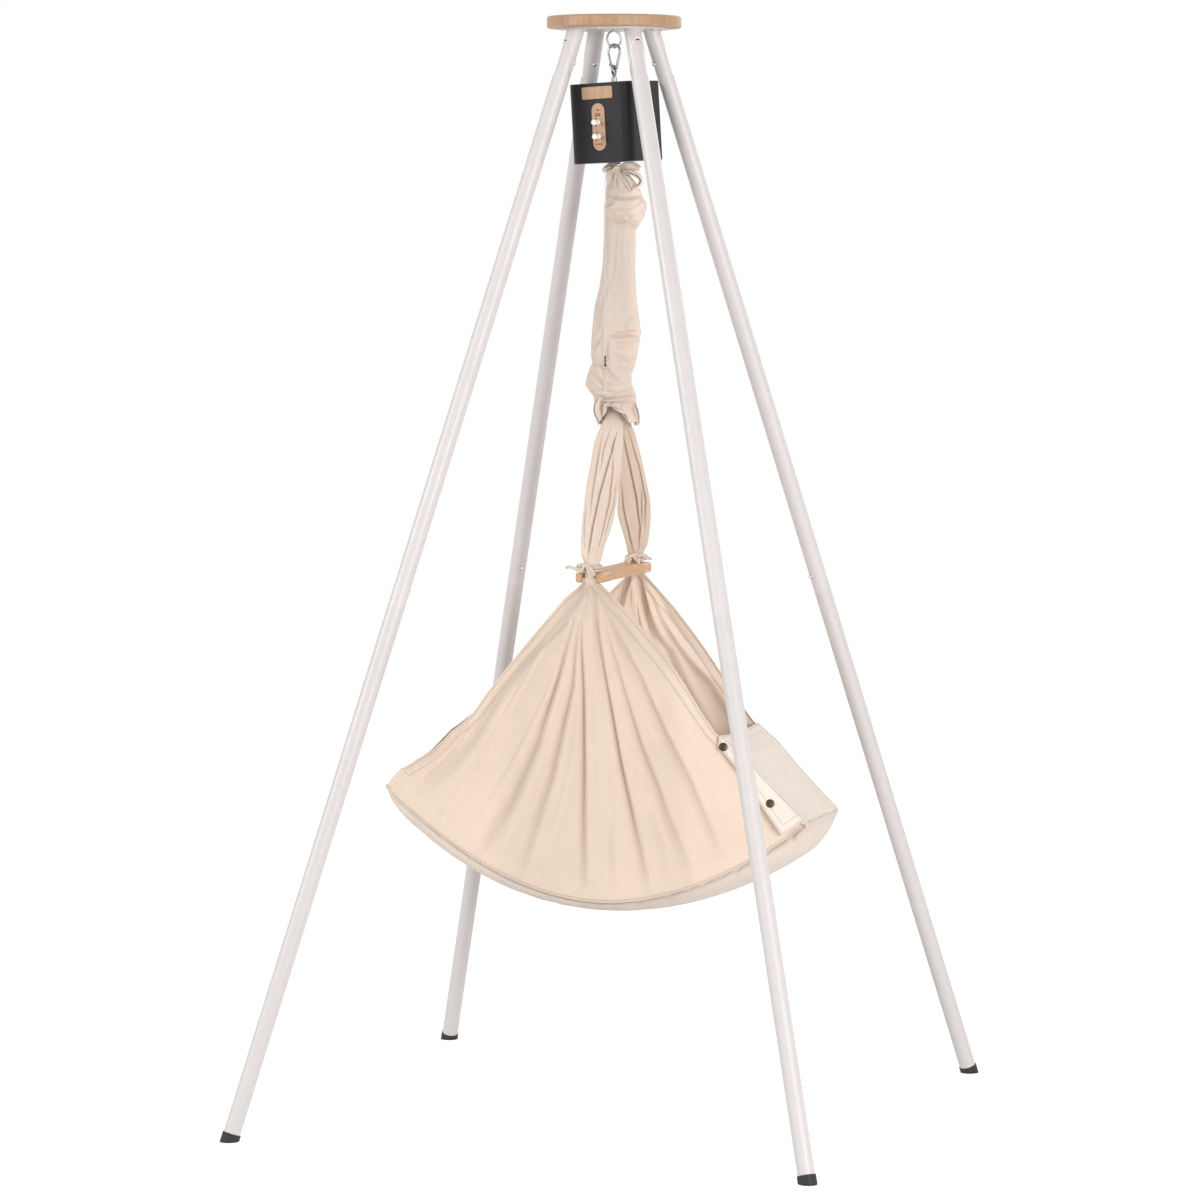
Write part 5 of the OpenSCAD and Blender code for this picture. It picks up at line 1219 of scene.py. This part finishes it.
# ---- Marks on the control strip ---------------------------------------------
FACE = np.array([-0.1815, -0.9830, -0.0279])
ACROSS = np.cross([0, 0, 1.0], -FACE)
ACROSS /= np.linalg.norm(ACROSS)
ALONG = np.cross(-FACE, ACROSS)
strip_mesh = nodes["control_strip"].data
corners = np.zeros(len(strip_mesh.vertices) * 3)
strip_mesh.vertices.foreach_get("co", corners)
FRONT = (corners.reshape(-1, 3) / MM @ FACE).max()


def on_strip(place, x, y):
    q = np.asarray(place) + ACROSS * x + ALONG * y
    return q + FACE * (FRONT - q @ FACE)


def make_mark(name, place, points, wide):
    """A printed line: a flat ribbon a tenth of a millimetre proud of the wood."""
    line = np.array([on_strip(place, *q) for q in points])
    t = np.gradient(line, axis=0)
    t /= np.linalg.norm(t, axis=1)[:, None]
    b = np.cross(t, FACE)
    p = np.stack([line - b * wide / 2, line + b * wide / 2], 1) + FACE * 0.12
    return grid(name, p, mat_mark.m, "motor", thick=0.12)


def turned(radius, degrees):
    a = math.radians(degrees)
    return radius * math.sin(a), radius * math.cos(a)


UPPER, LOWER = (-7.98, -62.54, 1853.30), (-6.61, -62.06, 1827.34)   # the knobs
for tag, place in (("upper", UPPER), ("lower", LOWER)):
    make_mark("mark_arc_" + tag, place, [turned(8.6, q) for q in range(25, 156, 10)],
              1.5)
    for i, q in enumerate((-50, -90, -130)):
        make_mark(f"mark_{tag}_{i}", place, [turned(7.6, q), turned(9.8, q)], 1.3)
for i, y in enumerate((12.4, 15.6)):
    make_mark(f"mark_bar_{i}", UPPER, [(-4.5, y), (6.5, y)], 1.5)
for i, x in enumerate((-5.0, 0.0, 5.0)):
    make_mark(f"mark_wave_{i}", LOWER, [(x - 1.9, -13.2), (x, -15.6), (x + 1.9, -13.2)],
              1.4)

# ---- Floor, light and background --------------------------------------------
GLOW = 0.62       # how bright the floor shows, beside the light on it
AMBIENT = 0.50


def wire(tree, kind, *sources, operation=None, **values):
    """A shader node with its first inputs linked to sources and others set."""
    n = tree.nodes.new("ShaderNode" + kind)
    if operation:
        n.operation = operation
    for key, value in values.items():
        n.inputs[key].default_value = value
    for socket, source in zip(n.inputs, sources):
        tree.links.new(source, socket)
    return n.outputs[0] if n.outputs else n


def shown(tree):
    """1 for a ray that shows the stage, 0 for one that only carries its light."""
    rays = tree.nodes.new("ShaderNodeLightPath").outputs
    seen = wire(tree, "Math", rays["Is Camera Ray"], rays["Is Glossy Ray"],
                operation="MAXIMUM")
    return wire(tree, "Math", seen, rays["Is Transmission Ray"], operation="MAXIMUM")


floor_mat = bpy.data.materials.new("floor")
floor_mat.use_nodes = True
t = floor_mat.node_tree
t.nodes.clear()
strength = wire(t, "Math", shown(t), operation="MULTIPLY")
strength.node.inputs[1].default_value = GLOW
emission = wire(t, "Emission")
t.links.new(strength, emission.node.inputs["Strength"])
wire(t, "OutputMaterial", wire(t, "AddShader", wire(
    t, "BsdfDiffuse", Color=(0.82, 0.82, 0.82, 1)), emission))
me = bpy.data.meshes.new("floor")
me.from_pydata([(-60, -60, -0.0005), (60, -60, -0.0005), (60, 60, -0.0005),
                (-60, 60, -0.0005)], [], [(0, 1, 2, 3)])
floor = bpy.data.objects.new("floor", me)
bpy.context.collection.objects.link(floor)
me.materials.append(floor_mat)

world = bpy.data.worlds.new("world")
bpy.context.scene.world = world
world.use_nodes = True
t = world.node_tree
t.nodes.clear()
wire(t, "OutputWorld", wire(
    t, "MixShader", shown(t),
    wire(t, "Background", Color=(1.0, 0.985, 0.97, 1), Strength=AMBIENT),
    wire(t, "Background", Color=(1, 1, 1, 1), Strength=1.0)))


def lamp(name, place, target, size, power):
    data = bpy.data.lights.new(name, "AREA")
    data.size = size
    data.energy = power
    data.color = (1.0, 0.985, 0.965)
    obj = bpy.data.objects.new(name, data)
    bpy.context.collection.objects.link(obj)
    obj.location = place
    toward = Vector(target) - Vector(place)
    obj.rotation_euler = toward.to_track_quat("-Z", "Y").to_euler()


lamp("key", (-4.9, -3.9, 3.3), (0, 0, 0.9), 2.2, 172)
lamp("fill", (5.0, -4.0, 2.0), (0, 0, 0.9), 2.6, 222)
lamp("back", (1.0, 5.0, 3.6), (0, 0, 0.9), 3.0, 60)

bpy.context.scene.view_settings.view_transform = "Standard"
